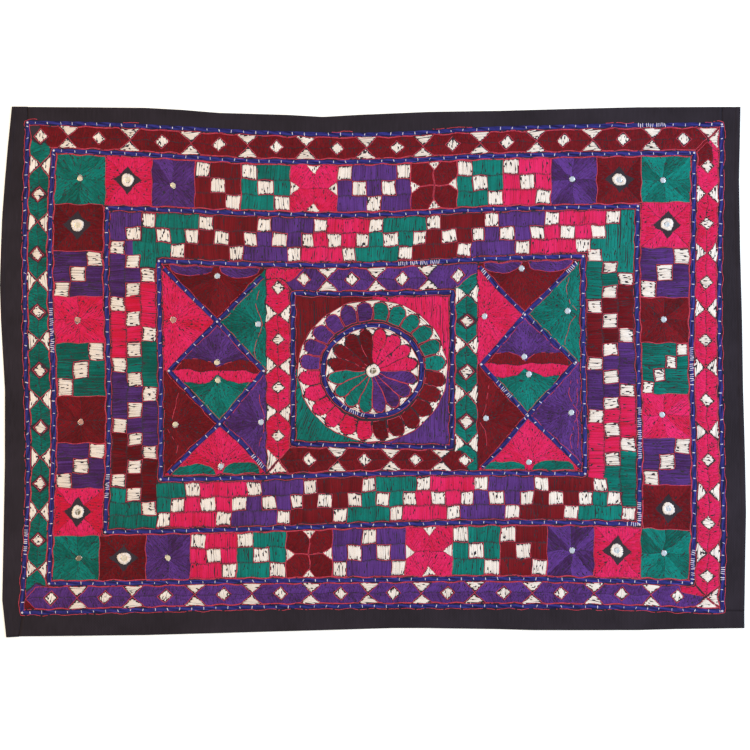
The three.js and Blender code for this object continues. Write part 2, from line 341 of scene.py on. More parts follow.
# The lozenge bands' edges, from the middle of the cloth out
OUTER_LONG = (322.7, 354.3)
OUTER_SHORT = (486.2, 516.8)
INNER_LONG = (121.3, 153.2)
INNER_LEFT = (124.3, 158.5)
INNER_RIGHT = (124.3, 157)

# The lozenge bands: where neighbouring lozenges meet, and the middles of their ivory diamonds
LOZENGE_BANDS = [
    {
        "side": "top", "thread": "maroon", "edges": OUTER_LONG,
        "joins": [-459, -362, -270, -186, -100, -10, 76, 161, 246, 331, 419, 500],
        "diamonds": [-411, -313, -228, -143, -53, 36, 119, 202, 288, 376, 465],
    },
    {
        "side": "bottom", "thread": "purple", "edges": OUTER_LONG,
        "joins": [-518, -438, -357, -265, -180, -92, -6, 74, 153, 239, 331, 417],
        "diamonds": [-478, -397, -309, -222, -137, -47, 31, 113, 197, 282, 372],
    },
    {
        "side": "left", "thread": "green", "edges": OUTER_SHORT,
        "joins": [-294, -204, -127, -42, 44, 130, 214, 296],
        "diamonds": [-247, -164, -84, 0, 85, 167, 254],
    },
    {
        "side": "right", "thread": "pink", "edges": OUTER_SHORT,
        "joins": [-336, -272, -184, -98, -4, 81, 164, 253],
        "diamonds": [-306, -229, -139, -53, 35, 120, 208],
    },
    {
        "side": "top", "thread": "purple", "edges": INNER_LONG,
        "joins": [-68, 5, 82], "diamonds": [-31, 44],
    },
    {
        "side": "bottom", "thread": "maroon", "edges": INNER_LONG,
        "joins": [-140, -52, 28, 103], "diamonds": [-95, -12, 64],
    },
    {
        "side": "left", "thread": "pink", "edges": INNER_LEFT,
        "joins": [-137, -68, 4, 84], "diamonds": [-104, -30, 44],
    },
    {
        "side": "right", "thread": "green", "edges": INNER_RIGHT,
        "joins": [-110, -36, 37, 112], "diamonds": [-77, -3, 72],
    },
]
LEAN = 16  # degrees between a lozenge's stitches and its short axis
TRIANGLE = {"half": 15.5, "apex": 2.6, "margin": 1.2}
SHOULDER = 0.4  # the most of a lozenge's length that its slanting end may take
DIAMOND = {"ivory": 9.4, "bare": 11.4}
LOBES = {"tip": 13.2, "gap": 1.7}  # half the bare diamond between two green lobes, and half its ends


def diamond(x, y, half):
    return np.array([(x - half, y), (x, y - half), (x + half, y), (x, y + half)], float)


def bare_between(at, near, far, thread):
    """The bare cloth round an ivory diamond: in a green lozenge it runs right across."""
    middle = (near + far) / 2
    if thread != "green":
        return diamond(at, middle, DIAMOND["bare"])
    tip, gap = LOBES["tip"], LOBES["gap"]
    return np.array([
        (at - tip, middle), (at - gap, near), (at + gap, near),
        (at + tip, middle), (at + gap, far), (at - gap, far),
    ])


def ivory_diamond(side, at, middle):
    """A small ivory diamond in a double outline with bare cloth between."""
    ring = on_side(side, diamond(at, middle, DIAMOND["ivory"]))
    fill("ivory", [ring], side_angle(side, 90 + hand.uniform(-12, 12)), IVORY)
    outline(on_side(side, diamond(at, middle, DIAMOND["bare"] + hand.uniform(-0.7, 0.3))))


def lozenge(side, thread, start, end, near, far, diamonds):
    """A lozenge that runs along a side, worked in two slanting halves."""
    middle = (near + far) / 2
    shoulder = min(TRIANGLE["half"], (end - start) * SHOULDER)
    first, last = start + shoulder, end - shoulder
    holes = [bare_between(at, near, far, thread) for at in diamonds if start < at < end]
    lean = 0 if side == "top" else LEAN
    for edge, slant in ((far, 90 - lean), (near, 90 + lean)):
        half = np.array([(start, middle), (first, edge), (last, edge), (end, middle)], float)
        cuts = [clip_half(hole, middle, edge > middle) for hole in holes]
        rings = [on_side(side, ring) for ring in [half, *cuts]]
        fill(thread, rings, side_angle(side, slant))
    outer = [(start, middle), (first, far), (last, far), (end, middle), (last, near), (first, near)]
    outline(on_side(side, outer))


def clip_half(ring, level, above):
    """The half of a diamond that is above or below a level through its middle."""
    keep = ring[:, 1] >= level - 1e-6 if above else ring[:, 1] <= level + 1e-6
    return ring[keep][np.argsort(ring[keep][:, 0])]


def ivory_triangles(side, at, edges):
    """The pair of ivory triangles between two lozenges."""
    near, far = edges
    middle = (near + far) / 2
    for edge, tip in ((far, middle + TRIANGLE["apex"]), (near, middle - TRIANGLE["apex"])):
        half = TRIANGLE["half"] - TRIANGLE["margin"]
        ring = on_side(side, [(at - half, edge), (at + half, edge), (at, tip)])
        fill("ivory", [ring], side_angle(side, 4 + hand.uniform(-6, 6)), IVORY)


def lozenge_band(side, thread, edges, joins, diamonds):
    """A band of lozenges with ivory triangles between them and an ivory diamond in each."""
    for start, end in zip(joins[:-1], joins[1:]):
        lozenge(side, thread, start, end, *edges, diamonds)
    for at in joins[1:-1]:
        ivory_triangles(side, at, edges)
    for at in diamonds:
        ivory_diamond(side, at, sum(edges) / 2)


def outer_triangles():
    """The ivory triangles at the ends of the outer lozenge bands."""
    for side, at in (("left", -294), ("left", 296), ("right", 253)):
        ivory_triangles(side, at, OUTER_SHORT)
    for side, at in (("top", -459), ("bottom", 417)):
        ivory_triangles(side, at, OUTER_LONG)


def outer_top_left():
    """An ivory diamond in the corner, maroon on its right and green below."""
    first = [(-504, 354.3), (-474.5, 354.3), (-459, 338.5), (-474.5, 322.7), (-487.5, 322.7),
             (-495, 330.5), (-489.8, 337.5), (-502, 349.7)]
    fill("maroon", [first], 84)
    outline(first[1:5], closed=False)
    below = [(-516.8, 334), (-509, 329), (-502, 323.5), (-495, 327.5), (-486.2, 324), (-486.2, 312),
             (-501.5, 296), (-516.8, 311)]
    fill("green", [below], 20)
    outline([below[0], *reversed(below[5:])], closed=False)
    ivory_diamond("top", -502, 338)


def outer_bottom_left():
    """Green comes down to the purple, with a scrap of maroon in the corner."""
    foot = [(-501.5, -294), (-486.2, -309), (-486.2, -321), (-500, -316), (-516.8, -328),
            (-516.8, -309)]
    fill("green", [foot], -20)
    outline(foot[-1:] + foot[:3], closed=False)
    fill("purple", [[(-516.8, -330), (-501, -318), (-488, -322.7), (-503, -322.7),
                     (-516.8, -336.5)]], 74)
    fill("maroon", [[(-516.8, -340), (-516.8, -354.3), (-503, -354.3)]], 20)


def outer_top_right():
    """The first lozenge down the side is part maroon, part pink."""
    fill("maroon", [[(484.5, 322.7), (500, 338.5), (503, 334), (486.2, 317)]], 60)
    fill("pink", [[(503, 334), (516.8, 318), (516.8, 325), (506, 337)]], 90)
    fill("maroon", [[(486.2, 318.5), (501.5, 334), (508, 327.4), (508, 301.9), (501.5, 308.4),
                     (490.1, 297), (486.2, 297)]], 20)
    fill("pink", [[(508, 327.4), (516.8, 318.5), (516.8, 268.5), (501.5, 253), (486.2, 268.5),
                   (486.2, 297), (490.1, 297), (501.5, 285.6), (512.9, 297), (508, 301.9)]], 14)
    outline([(486.2, 318.5), (501.5, 334), (516.8, 318.5), (516.8, 268.5), (501.5, 253),
             (486.2, 268.5)])
    ivory_diamond("right", 297, 501.5)


def outer_bottom_right():
    """The pink of the side runs on over the last purple lozenge."""
    lap, bay = (464.5, -330.5), (485, -335.5)
    fill("purple", [[(417, -338.5), (432.5, -322.7), (462, -322.7), lap, bay, (499, -338.5),
                     (486.5, -354.3), (432.5, -354.3)], diamond(459, -338.5, DIAMOND["bare"])], 80)
    fill("pink", [[(463.5, -322.7), (485.5, -322.7), (500.5, -337.5), bay, lap]], 10)
    outline([(462.5, -323), lap, bay, (499, -338.5)], closed=False)
    outline([(486.5, -354.3), (432.5, -354.3), (417, -338.5), (432.5, -322.7)], closed=False)
    ivory_diamond("bottom", 459, 338.5)


def outer_diagonals():
    """Both right-hand corners: two ivory triangles either side of the diagonal."""
    along_edge = [(486, 354.3), (515.8, 354.3), (501.8, 340)]
    down_side = [(516.8, 353), (516.8, 323), (503.2, 338.6)]
    for corner in (1, -1):
        for ring in (along_edge, down_side):
            ring = [(x, corner * y) for x, y in ring]
            fill("ivory", [ring], 0, IVORY)
            outline(ring)


def inner_triangles():
    """The ivory triangles at the ends of the inner lozenge bands."""
    for side, at, edges in (
        ("top", 82, INNER_LONG), ("top", -68, INNER_LONG), ("bottom", 103, INNER_LONG),
        ("left", 84, INNER_LEFT), ("right", 112, INNER_RIGHT), ("right", -110, INNER_RIGHT),
    ):
        ivory_triangles(side, at, edges)


def inner_top_left():
    """The pink of the left band runs on over the first purple lozenge."""
    tip, bay, lap = (-131, 134), (-124.4, 135), (-112.8, 143)
    lozenge_end = [(-141.4, 84), (-124.3, 99.5), (-124.3, 121), (-131, 132.5), (-141, 137),
                   (-158.5, 137), (-158.5, 99.5)]
    fill("pink", [lozenge_end, diamond(-141.4, 124, DIAMOND["bare"])], 6)
    fill("pink", [[(-158.5, 138), (-141, 138), (-131, 135.5), bay, lap, (-105.5, 153.2),
                   (-158.5, 153.2)]], 84)
    fill("purple", [[tip, bay, lap, (-104, 153.2), (-83.5, 153.2), (-68, 137.2), (-83.5, 121.3),
                     (-119.5, 121.3)], diamond(-103, 137.2, DIAMOND["bare"])], 76)
    outline([(-124.3, 99.5), (-141.4, 84), (-158.5, 99.5)], closed=False)
    outline([(-158, 153), (-141, 137), (-131, 132.5), (-122.5, 121.3)], closed=False)
    outline([(-127, 153), (-141, 137)], closed=False)
    outline([tip, bay, lap, (-105.5, 152.5)], closed=False)
    outline([(-83.5, 153.2), (-68, 137.2), (-83.5, 121.3)], closed=False)
    ivory_diamond("left", 124, 141.4)
    ivory_diamond("top", -103, 137.2)


def inner_top_right():
    """Green comes up under the last purple lozenge."""
    seam = [(122.5, 121.3), (130, 124.5), (138.5, 131), (148, 138.5), (156.5, 141)]
    fill("purple", [[(82, 137.2), (97.5, 153.2), (156.5, 153.2), *reversed(seam), (97.5, 121.3)],
                    diamond(127.5, 137.8, 10.6)], 76)
    fill("green", [[*seam, (156.5, 127.5), (141, 112.5)]], 24)
    outline(seam, closed=False)
    ivory_diamond("top", 127.5, 137.8)


def inner_bottom_left():
    """Two ivory triangles either side of the corner's diagonal."""
    beside = [(-158, -121), (-142, -137), (-157, -151)]
    below = [(-154.5, -153.2), (-126, -153.2), (-140.5, -139)]
    for ring in (beside, below):
        fill("ivory", [ring], 80, IVORY)
        outline(ring)


def inner_bottom_right():
    """Green goes round the last ivory diamond."""
    fill("maroon", [[(103, -137.2), (118.5, -121.3), (132, -121.3), (135, -130), (129, -138),
                     (140, -149), (142, -153.2), (118.5, -153.2)]], 74)
    fill("green", [[(140.7, -111), (156.5, -124), (156.5, -153), (145, -153), (141, -149), (151, -138),
                    (139, -127), (133, -121.3), (125, -121.3)]], 20)
    ivory_diamond("bottom", 139, 138)


# The patch band: squares from left to right, then from top to bottom
ACROSS = (240.2, 312.3)
TOP_PATCHES = {
    "edges": [-475.8, -400, -328, -264, -196, -123, -53, 57, 126, 196, 269, 338, 403, 475.8],
    "kinds": ["rays green", "star pink", "rays purple", "step maroon", "step green", "cross pink",
              "vee purple", "rose maroon", "step green", "step pink", "rays purple", "star maroon",
              "rays green"],
}
BOTTOM_PATCHES = {
    "edges": [-475.8, -406, -338, -272, -203, -129, -60, 50, 120, 191, 261, 331, 400, 475.8],
    "kinds": ["rays green", "star maroon", "rays purple", "step pink", "step green", "rose maroon",
              "peak purple", "cross pink", "step green", "step maroon", "rays purple", "star pink",
              "rays green"],
}
DOWN = (-475.8, -403.2)
LEFT_PATCHES = {
    "edges": [240.2, 172, 107, 40, -38, -106, -171, -240.2],
    "kinds": ["star maroon", "slope purple", "rays pink", "slope green", "rays maroon",
              "slope purple", "star pink"],
}
RIGHT_PATCHES = {
    "edges": [240.2, 171, 97, 31, -44, -108, -175, -240.2],
    "kinds": ["star pink", "slope purple", "rays maroon", "stair green", "rays pink",
              "slope purple", "star maroon"],
}

# Middles of the mirrors on the chart
RINGED_AT = [
    (-366, 278), (371, 277), (-441, 210), (442, 206), (-441, -205), (442, -210), (-370, -277),
    (365, -274), (1, -2),
]
SMALL_AT = [
    (-439, 278), (-296, 273), (301, 279), (435, 275), (-441, 73), (-440, -75), (438, 65), (433, -74),
    (-437, -277), (-305, -278), (298, -275), (436, -275),
    (-231, 140), (-298, 73), (-171, 68), (-233, 9), (-232, -18), (-296, -81), (-167, -83), (-227, -143),
    (224, 144), (168, 78), (294, 80), (228, 16), (235, -10), (170, -73), (298, -69), (234, -141),
]


def mirror_in(places, x0, y0, x1, y1):
    """The mirror that lies inside a patch."""
    return next((x, y) for x, y in places if x0 < x < x1 and y0 < y < y1)


# Every other sector of a rays square is lighter, the rest darker: a painted sheen by thread direction,
# stronger on the right
RAYS = {"open": 0.1, "lean": 16, "left_painted_sheen": 0.1, "right_painted_sheen": 0.24}
STAR = {"tip": 21.0, "waist": 9.4}


def rays(thread, box):
    """A square in eight leaning sectors round a small mirror."""
    middle = np.array(mirror_in(SMALL_AT, *box), float)
    corners = rectangle_between(*box)
    rim = []
    for a, b in zip(corners, np.roll(corners, -1, axis=0)):
        rim.extend([a, (a + b) / 2])
    for i, a in enumerate(rim):
        b = rim[(i + 1) % len(rim)]
        heading = (a + b) / 2 - middle
        near = [middle + (p - middle) * RAYS["open"] for p in (a, b)]
        side = 1 if i % 2 else -1
        # Painted sheen: every other sector lighter, the rest darker
        shade = side * RAYS["right_painted_sheen" if box[0] > 0 else "left_painted_sheen"]
        towards = math.degrees(math.atan2(heading[1], heading[0]))
        fill(thread, [[near[0], a, b, near[1]]], towards + RAYS["lean"] * side, shade=shade)
    outline(corners)


def star(thread, box):
    """A square with a bare four-pointed star under a ringed mirror."""
    x, y = mirror_in(RINGED_AT, *box)
    tip, waist = STAR["tip"], STAR["waist"]
    points = [(x + tip, y), (x + waist, y + waist), (x, y + tip), (x - waist, y + waist),
              (x - tip, y), (x - waist, y - waist), (x, y - tip), (x + waist, y - waist)]
    corners = rectangle_between(*box)
    quarters = ((90, (7, 6, 5)), (0, (1, 0, 7)), (90, (3, 2, 1)), (0, (5, 4, 3)))
    for i, (degrees, along_star) in enumerate(quarters):
        ring = [corners[i], corners[(i + 1) % 4], *[points[k] for k in along_star]]
        fill(thread, [ring], degrees + hand.uniform(-4, 4))
    outline(corners)


# How far an ivory block's outline is inside its place, and its stitches inside the outline
BLOCK_MARGIN, IVORY_INSET = 0.75, (0.4, 1.5)


def blocks(box, columns, rows):
    """A way to get the corners of a block in a patch, by its column and row from the top left."""
    x0, y0, x1, y1 = box

    def block(column, row, wide=1):
        left = x0 + (x1 - x0) * column / columns
        top = y1 - (y1 - y0) * row / rows
        right = left + (x1 - x0) * wide / columns
        return rectangle_between(left, top - (y1 - y0) / rows, right, top)

    return block


def ivory_block(ring, degrees):
    """A rectangle of ivory, worked a little inside its outline."""
    ring = np.asarray(ring, float)
    inward = np.sign(ring.mean(axis=0) - ring)
    ring = ring + BLOCK_MARGIN * inward
    stitched = ring + hand.uniform(*IVORY_INSET, ring.shape) * inward
    fill("ivory", [stitched], degrees + hand.uniform(-3, 3), IVORY)
    outline(ring)


def step(thread, box):
    """Ivory blocks down a slope, in two bent areas of colour."""
    block = blocks(box, columns=3, rows=3)
    for i in range(3):
        ivory_block(block(i, i), 90)
    for ring in (block(1, 0, 2), block(2, 1), block(0, 1), block(0, 2, 2)):
        fill(thread, [ring], 90 + hand.uniform(-3, 3), BLOCK)
    outline(rectangle_between(*box))


def slope(thread, box, count):
    """The same as step, leaning the other way and with its threads lying across."""
    block = blocks(box, columns=count, rows=count)
    for i in range(count):
        ivory_block(block(count - 1 - i, i), 0)
        if i < count - 1:
            fill(thread, [block(0, i, count - 1 - i)], 0, BLOCK)
            fill(thread, [block(count - 1 - i, i + 1, i + 1)], 0, BLOCK)
    outline(rectangle_between(*box))


def vee(thread, box, upside_down):
    """Five columns of blocks with a V of ivory ones, or the V upside down."""
    block = blocks(box, columns=5, rows=3)
    turned = (lambda row: 2 - row) if upside_down else (lambda row: row)
    for column, row in ((0, 0), (1, 1), (2, 2), (3, 1), (4, 0)):
        ivory_block(block(column, turned(row)), 90)
    areas = ((1, 0, 3), (0, 1, 1), (2, 1, 1), (4, 1, 1), (0, 2, 2), (3, 2, 2))
    for column, row, wide in areas:
        fill(thread, [block(column, turned(row), wide)], 90, BLOCK)
    outline(rectangle_between(*box))


def wedges(box, half, depth):
    """Ivory triangles that point in from the middles of a patch's sides."""
    x0, y0, x1, y1 = box
    x, y = (x0 + x1) / 2, (y0 + y1) / 2
    return [
        [(x - half, y1), (x, y1 - depth), (x + half, y1)],
        [(x1, y - half), (x1, y + half), (x1 - depth, y)],
        [(x - half, y0), (x + half, y0), (x, y0 + depth)],
        [(x0, y - half), (x0 + depth, y), (x0, y + half)],
    ]


LEAVES = {"parting": 0.6, "lean": 28}


def leaves(thread, box, half, depth, parted):
    """Four leaves from the middle of a patch to its corners, between ivory wedges."""
    x0, y0, x1, y1 = box
    x, y = (x0 + x1) / 2, (y0 + y1) / 2
    for ring in wedges(box, half, depth):
        fill("ivory", [ring], 90 + hand.uniform(-5, 5), IVORY)
        outline(ring)
    edge = LEAVES["parting"] if parted else 0
    for sx, sy in ((1, 1), (-1, 1), (-1, -1), (1, -1)):
        ex, ey = (x1 if sx > 0 else x0), (y1 if sy > 0 else y0)
        leaf = [
            (x + sx * edge, y + sy * edge), (x + sx * edge, ey - sy * depth), (x + sx * half, ey),
            (ex, ey), (ex, y + sy * half), (ex - sx * depth, y + sy * edge),
        ]
        fill(thread, [leaf], 90 + sx * sy * LEAVES["lean"])
        if parted:
            outline(leaf)
    outline(rectangle_between(*box))


PATCHES = {
    "rays": rays,
    "star": star,
    "step": step,
    "slope": partial(slope, count=3),
    "stair": partial(slope, count=4),
    "vee": partial(vee, upside_down=False),
    "peak": partial(vee, upside_down=True),
    "cross": partial(leaves, half=11, depth=14, parted=False),
    "rose": partial(leaves, half=10, depth=13, parted=True),
}


def patch(kind, x0, y0, x1, y1):
    """A square of the patch band, from its form and thread."""
    form, thread = kind.split()
    PATCHES[form](thread, (x0, y0, x1, y1))


def patch_band():
    """The band of squares: the rows above and below, then the columns at the sides."""
    for row, low, high in ((TOP_PATCHES, *ACROSS), (BOTTOM_PATCHES, -ACROSS[1], -ACROSS[0])):
        for kind, x0, x1 in zip(row["kinds"], row["edges"][:-1], row["edges"][1:]):
            patch(kind, x0, low, x1, high)
    for column, low, high in ((LEFT_PATCHES, *DOWN), (RIGHT_PATCHES, -DOWN[1], -DOWN[0])):
        for kind, y1, y0 in zip(column["kinds"], column["edges"][:-1], column["edges"][1:]):
            patch(kind, low, y0, high, y1)


# The edges of the meander band's three rows, from the middle of the cloth out
LONG_ROWS = [163.8, 185.8, 207.8, 229.7]
SHORT_ROWS = [322.8, 346, 369.4, 392.7]

# The meander band: the turns of its ivory line, from which row it starts, and for the outer and the
# inner row where it starts, the threads of its bars and where it ends
MEANDERS = [
    {
        "side": "top", "rows": LONG_ROWS, "first": "outer",
        "turns": [-333, -289, -248, -202, -162, -116, -79, -35, 4, 50, 90, 138, 178, 226, 270, 318, 362],
        "outer": (-344, ["", "green", "maroon", "purple", "pink", "green", "maroon", "purple", "pink",
                         ""], 373),
        "inner": (-323, ["green", "maroon", "purple", "pink", "green", "maroon", "purple", "pink", ""],
                  329),
    },
    {
        "side": "bottom", "rows": LONG_ROWS, "first": "outer",
        "turns": [-312, -270, -222, -177, -132, -94, -48, -5, 36, 76, 122, 162, 210, 252, 297, 340, 382],
        "outer": (-323, ["", "pink", "purple", "maroon", "green", "pink", "purple", "maroon", "green",
                         ""], 392.7),
        "inner": (-323, ["green", "pink", "purple", "maroon", "green", "pink", "purple", "maroon", ""],
                  351),
    },
    {
        "side": "left", "rows": SHORT_ROWS, "first": "inner",
        "turns": [-201, -160, -120, -82, -35, 7, 52, 96, 138, 177],
        "outer": (-171, ["", "maroon", "purple", "pink", "purple", ""], 187),
        "inner": (-212, ["", "maroon", "purple", "green", "pink", ""], 207.8),
    },
    {
        "side": "right", "rows": SHORT_ROWS, "first": "outer",
        "turns": [-117, -75, -39, 2, 41, 86, 125, 159],
        "outer": (-128, ["", "pink", "purple", "maroon", ""], 136),
        "inner": (-165, ["pink", "purple", "maroon", "green", ""], 170),
    },
]
END_BLOCK = 10.5  # half the length of the first and last block of a run
CELL = 22  # about how long a bar of colour is before its stitches start again
CELL_SHIFT = 4
SHORTEST_BAR = 3


def meander(side, rows, first, turns, outer, inner):
    """An ivory line of blocks that steps between the rows, with T shapes of colour in its bends."""
    inner_row, middle_row, outer_row = zip(rows[:-1], rows[1:])
    at_outer = [(i % 2 == 0) == (first == "outer") for i in range(len(turns))]
    places = [turns[0]]
    for a, b in zip(turns[:-1], turns[1:]):
        places.extend([(a + b) / 2, b])
    edges = [(a + b) / 2 for a, b in zip(places[:-1], places[1:])]
    edges = [turns[0] - END_BLOCK, *edges, turns[-1] + END_BLOCK]

    def area(thread, start, end, row):
        cells = max(1, round((end - start) / CELL))
        cuts = np.linspace(start, end, cells + 1)
        cuts[1:-1] += hand.uniform(-CELL_SHIFT, CELL_SHIFT, cells - 1)
        for near, far in zip(cuts[:-1], cuts[1:]):
            ring = on_side(side, rectangle_between(near, row[0], far, row[1]))
            fill(thread, [ring], side_angle(side, 90 + hand.uniform(-4, 4)), BLOCK)

    for turn, outside in enumerate(at_outer):
        place = 2 * turn
        row = outer_row if outside else inner_row
        ring = on_side(side, rectangle_between(edges[place], row[0], edges[place + 1], row[1]))
        ivory_block(ring, side_angle(side, 90))
        if turn < len(turns) - 1:
            ring = rectangle_between(edges[place + 1], middle_row[0], edges[place + 2], middle_row[1])
            ivory_block(on_side(side, ring), side_angle(side, 90))

    for (low, threads, high), row, outside in ((outer, outer_row, True), (inner, inner_row, False)):
        stops = [i for i, at in enumerate(at_outer) if at == outside]
        starts = [low, *[edges[2 * stop + 1] for stop in stops]]
        finishes = [*[edges[2 * stop] for stop in stops], high]
        for number, (thread, start, end) in enumerate(zip(threads, starts, finishes)):
            if thread and end - start > SHORTEST_BAR:
                area(thread, start, end, row)
            for bend in (i for i, at in enumerate(at_outer) if at != outside):
                if thread and sum(stop < bend for stop in stops) == number:
                    area(thread, edges[2 * bend], edges[2 * bend + 1], middle_row)


def meander_corners():
    """The corners of the meander band, where its runs meet."""
    fill("purple", [[(-392.7, 188), (-369.4, 188), (-369.4, 208.5), (-345, 208.5), (-345, 229.7),
                     (-392.7, 229.7)]], 90, BLOCK)
    ivory_block(rectangle_between(-369.4, 188, -345, 208.5), 90)
    fill("green", [[(-346, 149), (-323, 149), (-323, 187), (-357, 187), (-357, 166),
                    (-346, 166)]], 90, BLOCK)
    fill("purple", [rectangle_between(-369.4, 166, -357, 188)], 90, BLOCK)
    for ring in (
        [(369.4, 133.5), (392.7, 133.5), (392.7, 229.7), (373, 229.7), (373, 207.8), (369.4, 207.8)],
        [(346, 150.5), (369.4, 150.5), (369.4, 207.8), (351, 207.8), (351, 188), (346, 188)],
        [(329, 169.5), (346, 169.5), (346, 188), (329, 188)],
    ):
        fill("green", [ring], 90 + hand.uniform(-3, 3), BLOCK)
    ivory_block(rectangle_between(329, 188, 351, 207.8), 90)
    for ring in (
        [(-392.7, -171), (-369.4, -171), (-369.4, -192), (-392.7, -192)],
        [(-392.7, -192), (-346, -192), (-346, -211), (-392.7, -211)],
        [(-392.7, -211), (-323, -211), (-323, -229.7), (-392.7, -229.7)],
    ):
        fill("green", [ring], 90, BLOCK)
    for ring in (
        [(369.4, -127.5), (392.7, -127.5), (392.7, -208), (373, -208), (373, -186), (369.4, -186)],
        [(346, -147), (369.4, -147), (369.4, -186), (351, -186), (351, -165), (346, -165)],
    ):
        fill("green", [ring], 0, BLOCK)
    ivory_block(rectangle_between(346, -147, 369.4, -127.5), 0)


# The two side panels: the ends and crossings of the two zigzags of laid braid
HOURGLASSES = [
    {
        "name": "braid_hourglass_left", "box": (-312, -153, -160, 153),
        "upper": (-232, 71), "left": (-305, -2), "right": (-163, -4), "lower": (-229, -84),
        "heads": [(-310, 148), (-165, 141)], "feet": [(-306, -150), (-162, -147)],
    },
    {
        "name": "braid_hourglass_right", "box": (158, -153, 312, 153),
        "upper": (229, 78), "left": (163, 7), "right": (306, 4), "lower": (233, -71),
        "heads": [(160, 148), (307, 149)], "feet": [(164, -150), (310, -147)],
    },
]
CROSSINGS = ("upper", "left", "right", "lower")


# The pair of lunettes on a panel's edge: how far from its sides and its middle, how deep and how full
LUNETTES = {"from_side": 9, "from_middle": 5, "depths": (14, 15), "fullness": 0.7, "lean": 25,
            "points": 9}
# How many sectors of stitches the triangles at a panel's ends and sides have
FAN_SECTORS = {"end": 14, "side": 16}
# A side triangle's mirror is the one nearest to its edge, this share more towards the corner
SIDE_FOCUS = 0.2
# The rhombus's two mirrors are the nearest to places this far above and below its middle
WAIST_FOCUS = (12, 14)
# The lines across the rhombus at a panel's waist, from its middle
HIGH_WAVE = [(-62, 13), (-52, 18), (-26, 18), (-11, 13), (-2, 4), (13, 13), (30, 16), (52, 13), (60, 12)]
MIDDLE_WAVE = [(-70, 2), (-54, 4), (-40, 1), (-20, -1), (-4, 0), (20, 0), (40, -1), (54, -4), (66, -5)]
LOW_WAVE = [(-54, -15), (-34, -20), (-14, -17), (-3, -7), (11, -14), (30, -20), (52, -20)]
WAVE_WEAR = 0.6


def scallop(x0, x1, edge, depth):
    """A lunette that hangs from an edge, deepest in its middle."""
    turns = np.linspace(0, math.pi, LUNETTES["points"])
    across = (x0 + x1) / 2 - (x1 - x0) / 2 * np.cos(turns)
    return np.stack([across, edge + depth * np.sin(turns) ** LUNETTES["fullness"]], axis=1)


# Thin wavy lines in the side triangles, on the chart, and how worn they are
WAVY_WEAR = 0.2
WAVY = [
    [(-170, 121), (-174, 100), (-170, 85), (-164, 69), (-167, 57), (-174, 44), (-177, 26), (-174, 16)],
    [(-170, -41), (-166, -61), (-162, -74), (-162.5, -94), (-169, -112), (-171.5, -125)],
    [(-292, -35), (-295, -56), (-302, -74)],
    [(-309, -82), (-304, -94), (-293, -112), (-293, -128)],
    [(298, 138), (292.5, 116), (296.5, 92), (307, 81)],
    [(307, 73), (298, 63), (291, 39), (291, 24), (300, 10)],
    [(298, -22), (295, -43), (300.5, -58), (310, -68), (303, -84), (296.5, -104), (298, -122)],
    [(307, -20), (309, -45), (305, -60), (308, -90), (308, -120)],
    [(174, -25), (172.6, -46), (165, -70)],
    [(162, -80), (168.6, -90), (171, -108), (172.6, -121)],
]


def end_triangles(panel, mirror_near):
    """The top and bottom triangles of a side panel, each under a pair of lunettes."""
    x0, y0, x1, y1 = panel["box"]
    out, between = LUNETTES["from_side"], LUNETTES["from_middle"]
    for edge, inward, tip, main, second in (
        (y1, -1, panel["upper"], "maroon", "purple"), (y0, 1, panel["lower"], "pink", "green")
    ):
        x = tip[0]
        first = scallop(x0 + out, x - between, edge, inward * LUNETTES["depths"][0])
        other = scallop(x + between, x1 - out, edge, inward * LUNETTES["depths"][1])
        body = [(x0, edge), *first, *other, (x1, edge), tip]
        fan(main, body, mirror_near(x, edge), FAN_SECTORS["end"])
        for ring in (first, other):
            fill(second, [ring], LUNETTES["lean"] * inward)
            outline(ring)


def side_triangles(panel, mirror_near):
    """The side triangles of a side panel, with their stitches spread from the mirrors."""
    x0, y0, x1, y1 = panel["box"]
    upper, left, right, lower = (panel[key] for key in CROSSINGS)
    for thread, corner, end, waist in (
        ("pink", (x0, y1), upper, left), ("green", (x1, y1), upper, right),
        ("maroon", (x0, y0), lower, left), ("purple", (x1, y0), lower, right),
    ):
        ring = [corner, end, waist, (corner[0], waist[1])]
        focus = (end[1] + waist[1]) / 2 + (corner[1] - end[1]) * SIDE_FOCUS
        fan(thread, ring, mirror_near(corner[0], focus), FAN_SECTORS["side"])


def waist_rhombus(panel, mirror_near):
    """The rhombus at the waist of a side panel, in four waves of colour."""
    upper, left, right, lower = (panel[key] for key in CROSSINGS)
    middle = (upper[0] + lower[0]) / 2
    level = (left[1] + right[1]) / 2
    high, mid, low = (
        [(middle + x, level + y) for x, y in wave] for wave in (HIGH_WAVE, MIDDLE_WAVE, LOW_WAVE)
    )
    fan("purple", [upper, *high], mirror_near(upper[0], level + WAIST_FOCUS[0]), FAN_SECTORS["end"])
    fill("maroon", [[*high, *reversed(mid)]], 90)
    fill("pink", [[*mid, *reversed(low)]], 84)
    fan("green", [*low, lower], mirror_near(lower[0], level - WAIST_FOCUS[1]), FAN_SECTORS["end"])
    outline(high, closed=False, rest=WAVE_WEAR)


def hourglass(panel):
    """Triangles of colour in a tall panel, round two crossings of laid braid."""
    x0, y0, x1, y1 = panel["box"]
    mirrors_here = [m for m in SMALL_AT if x0 < m[0] < x1 and y0 < m[1] < y1]

    def mirror_near(x, y):
        return min(mirrors_here, key=lambda m: math.dist(m, (x, y)))

    end_triangles(panel, mirror_near)
    side_triangles(panel, mirror_near)
    waist_rhombus(panel, mirror_near)


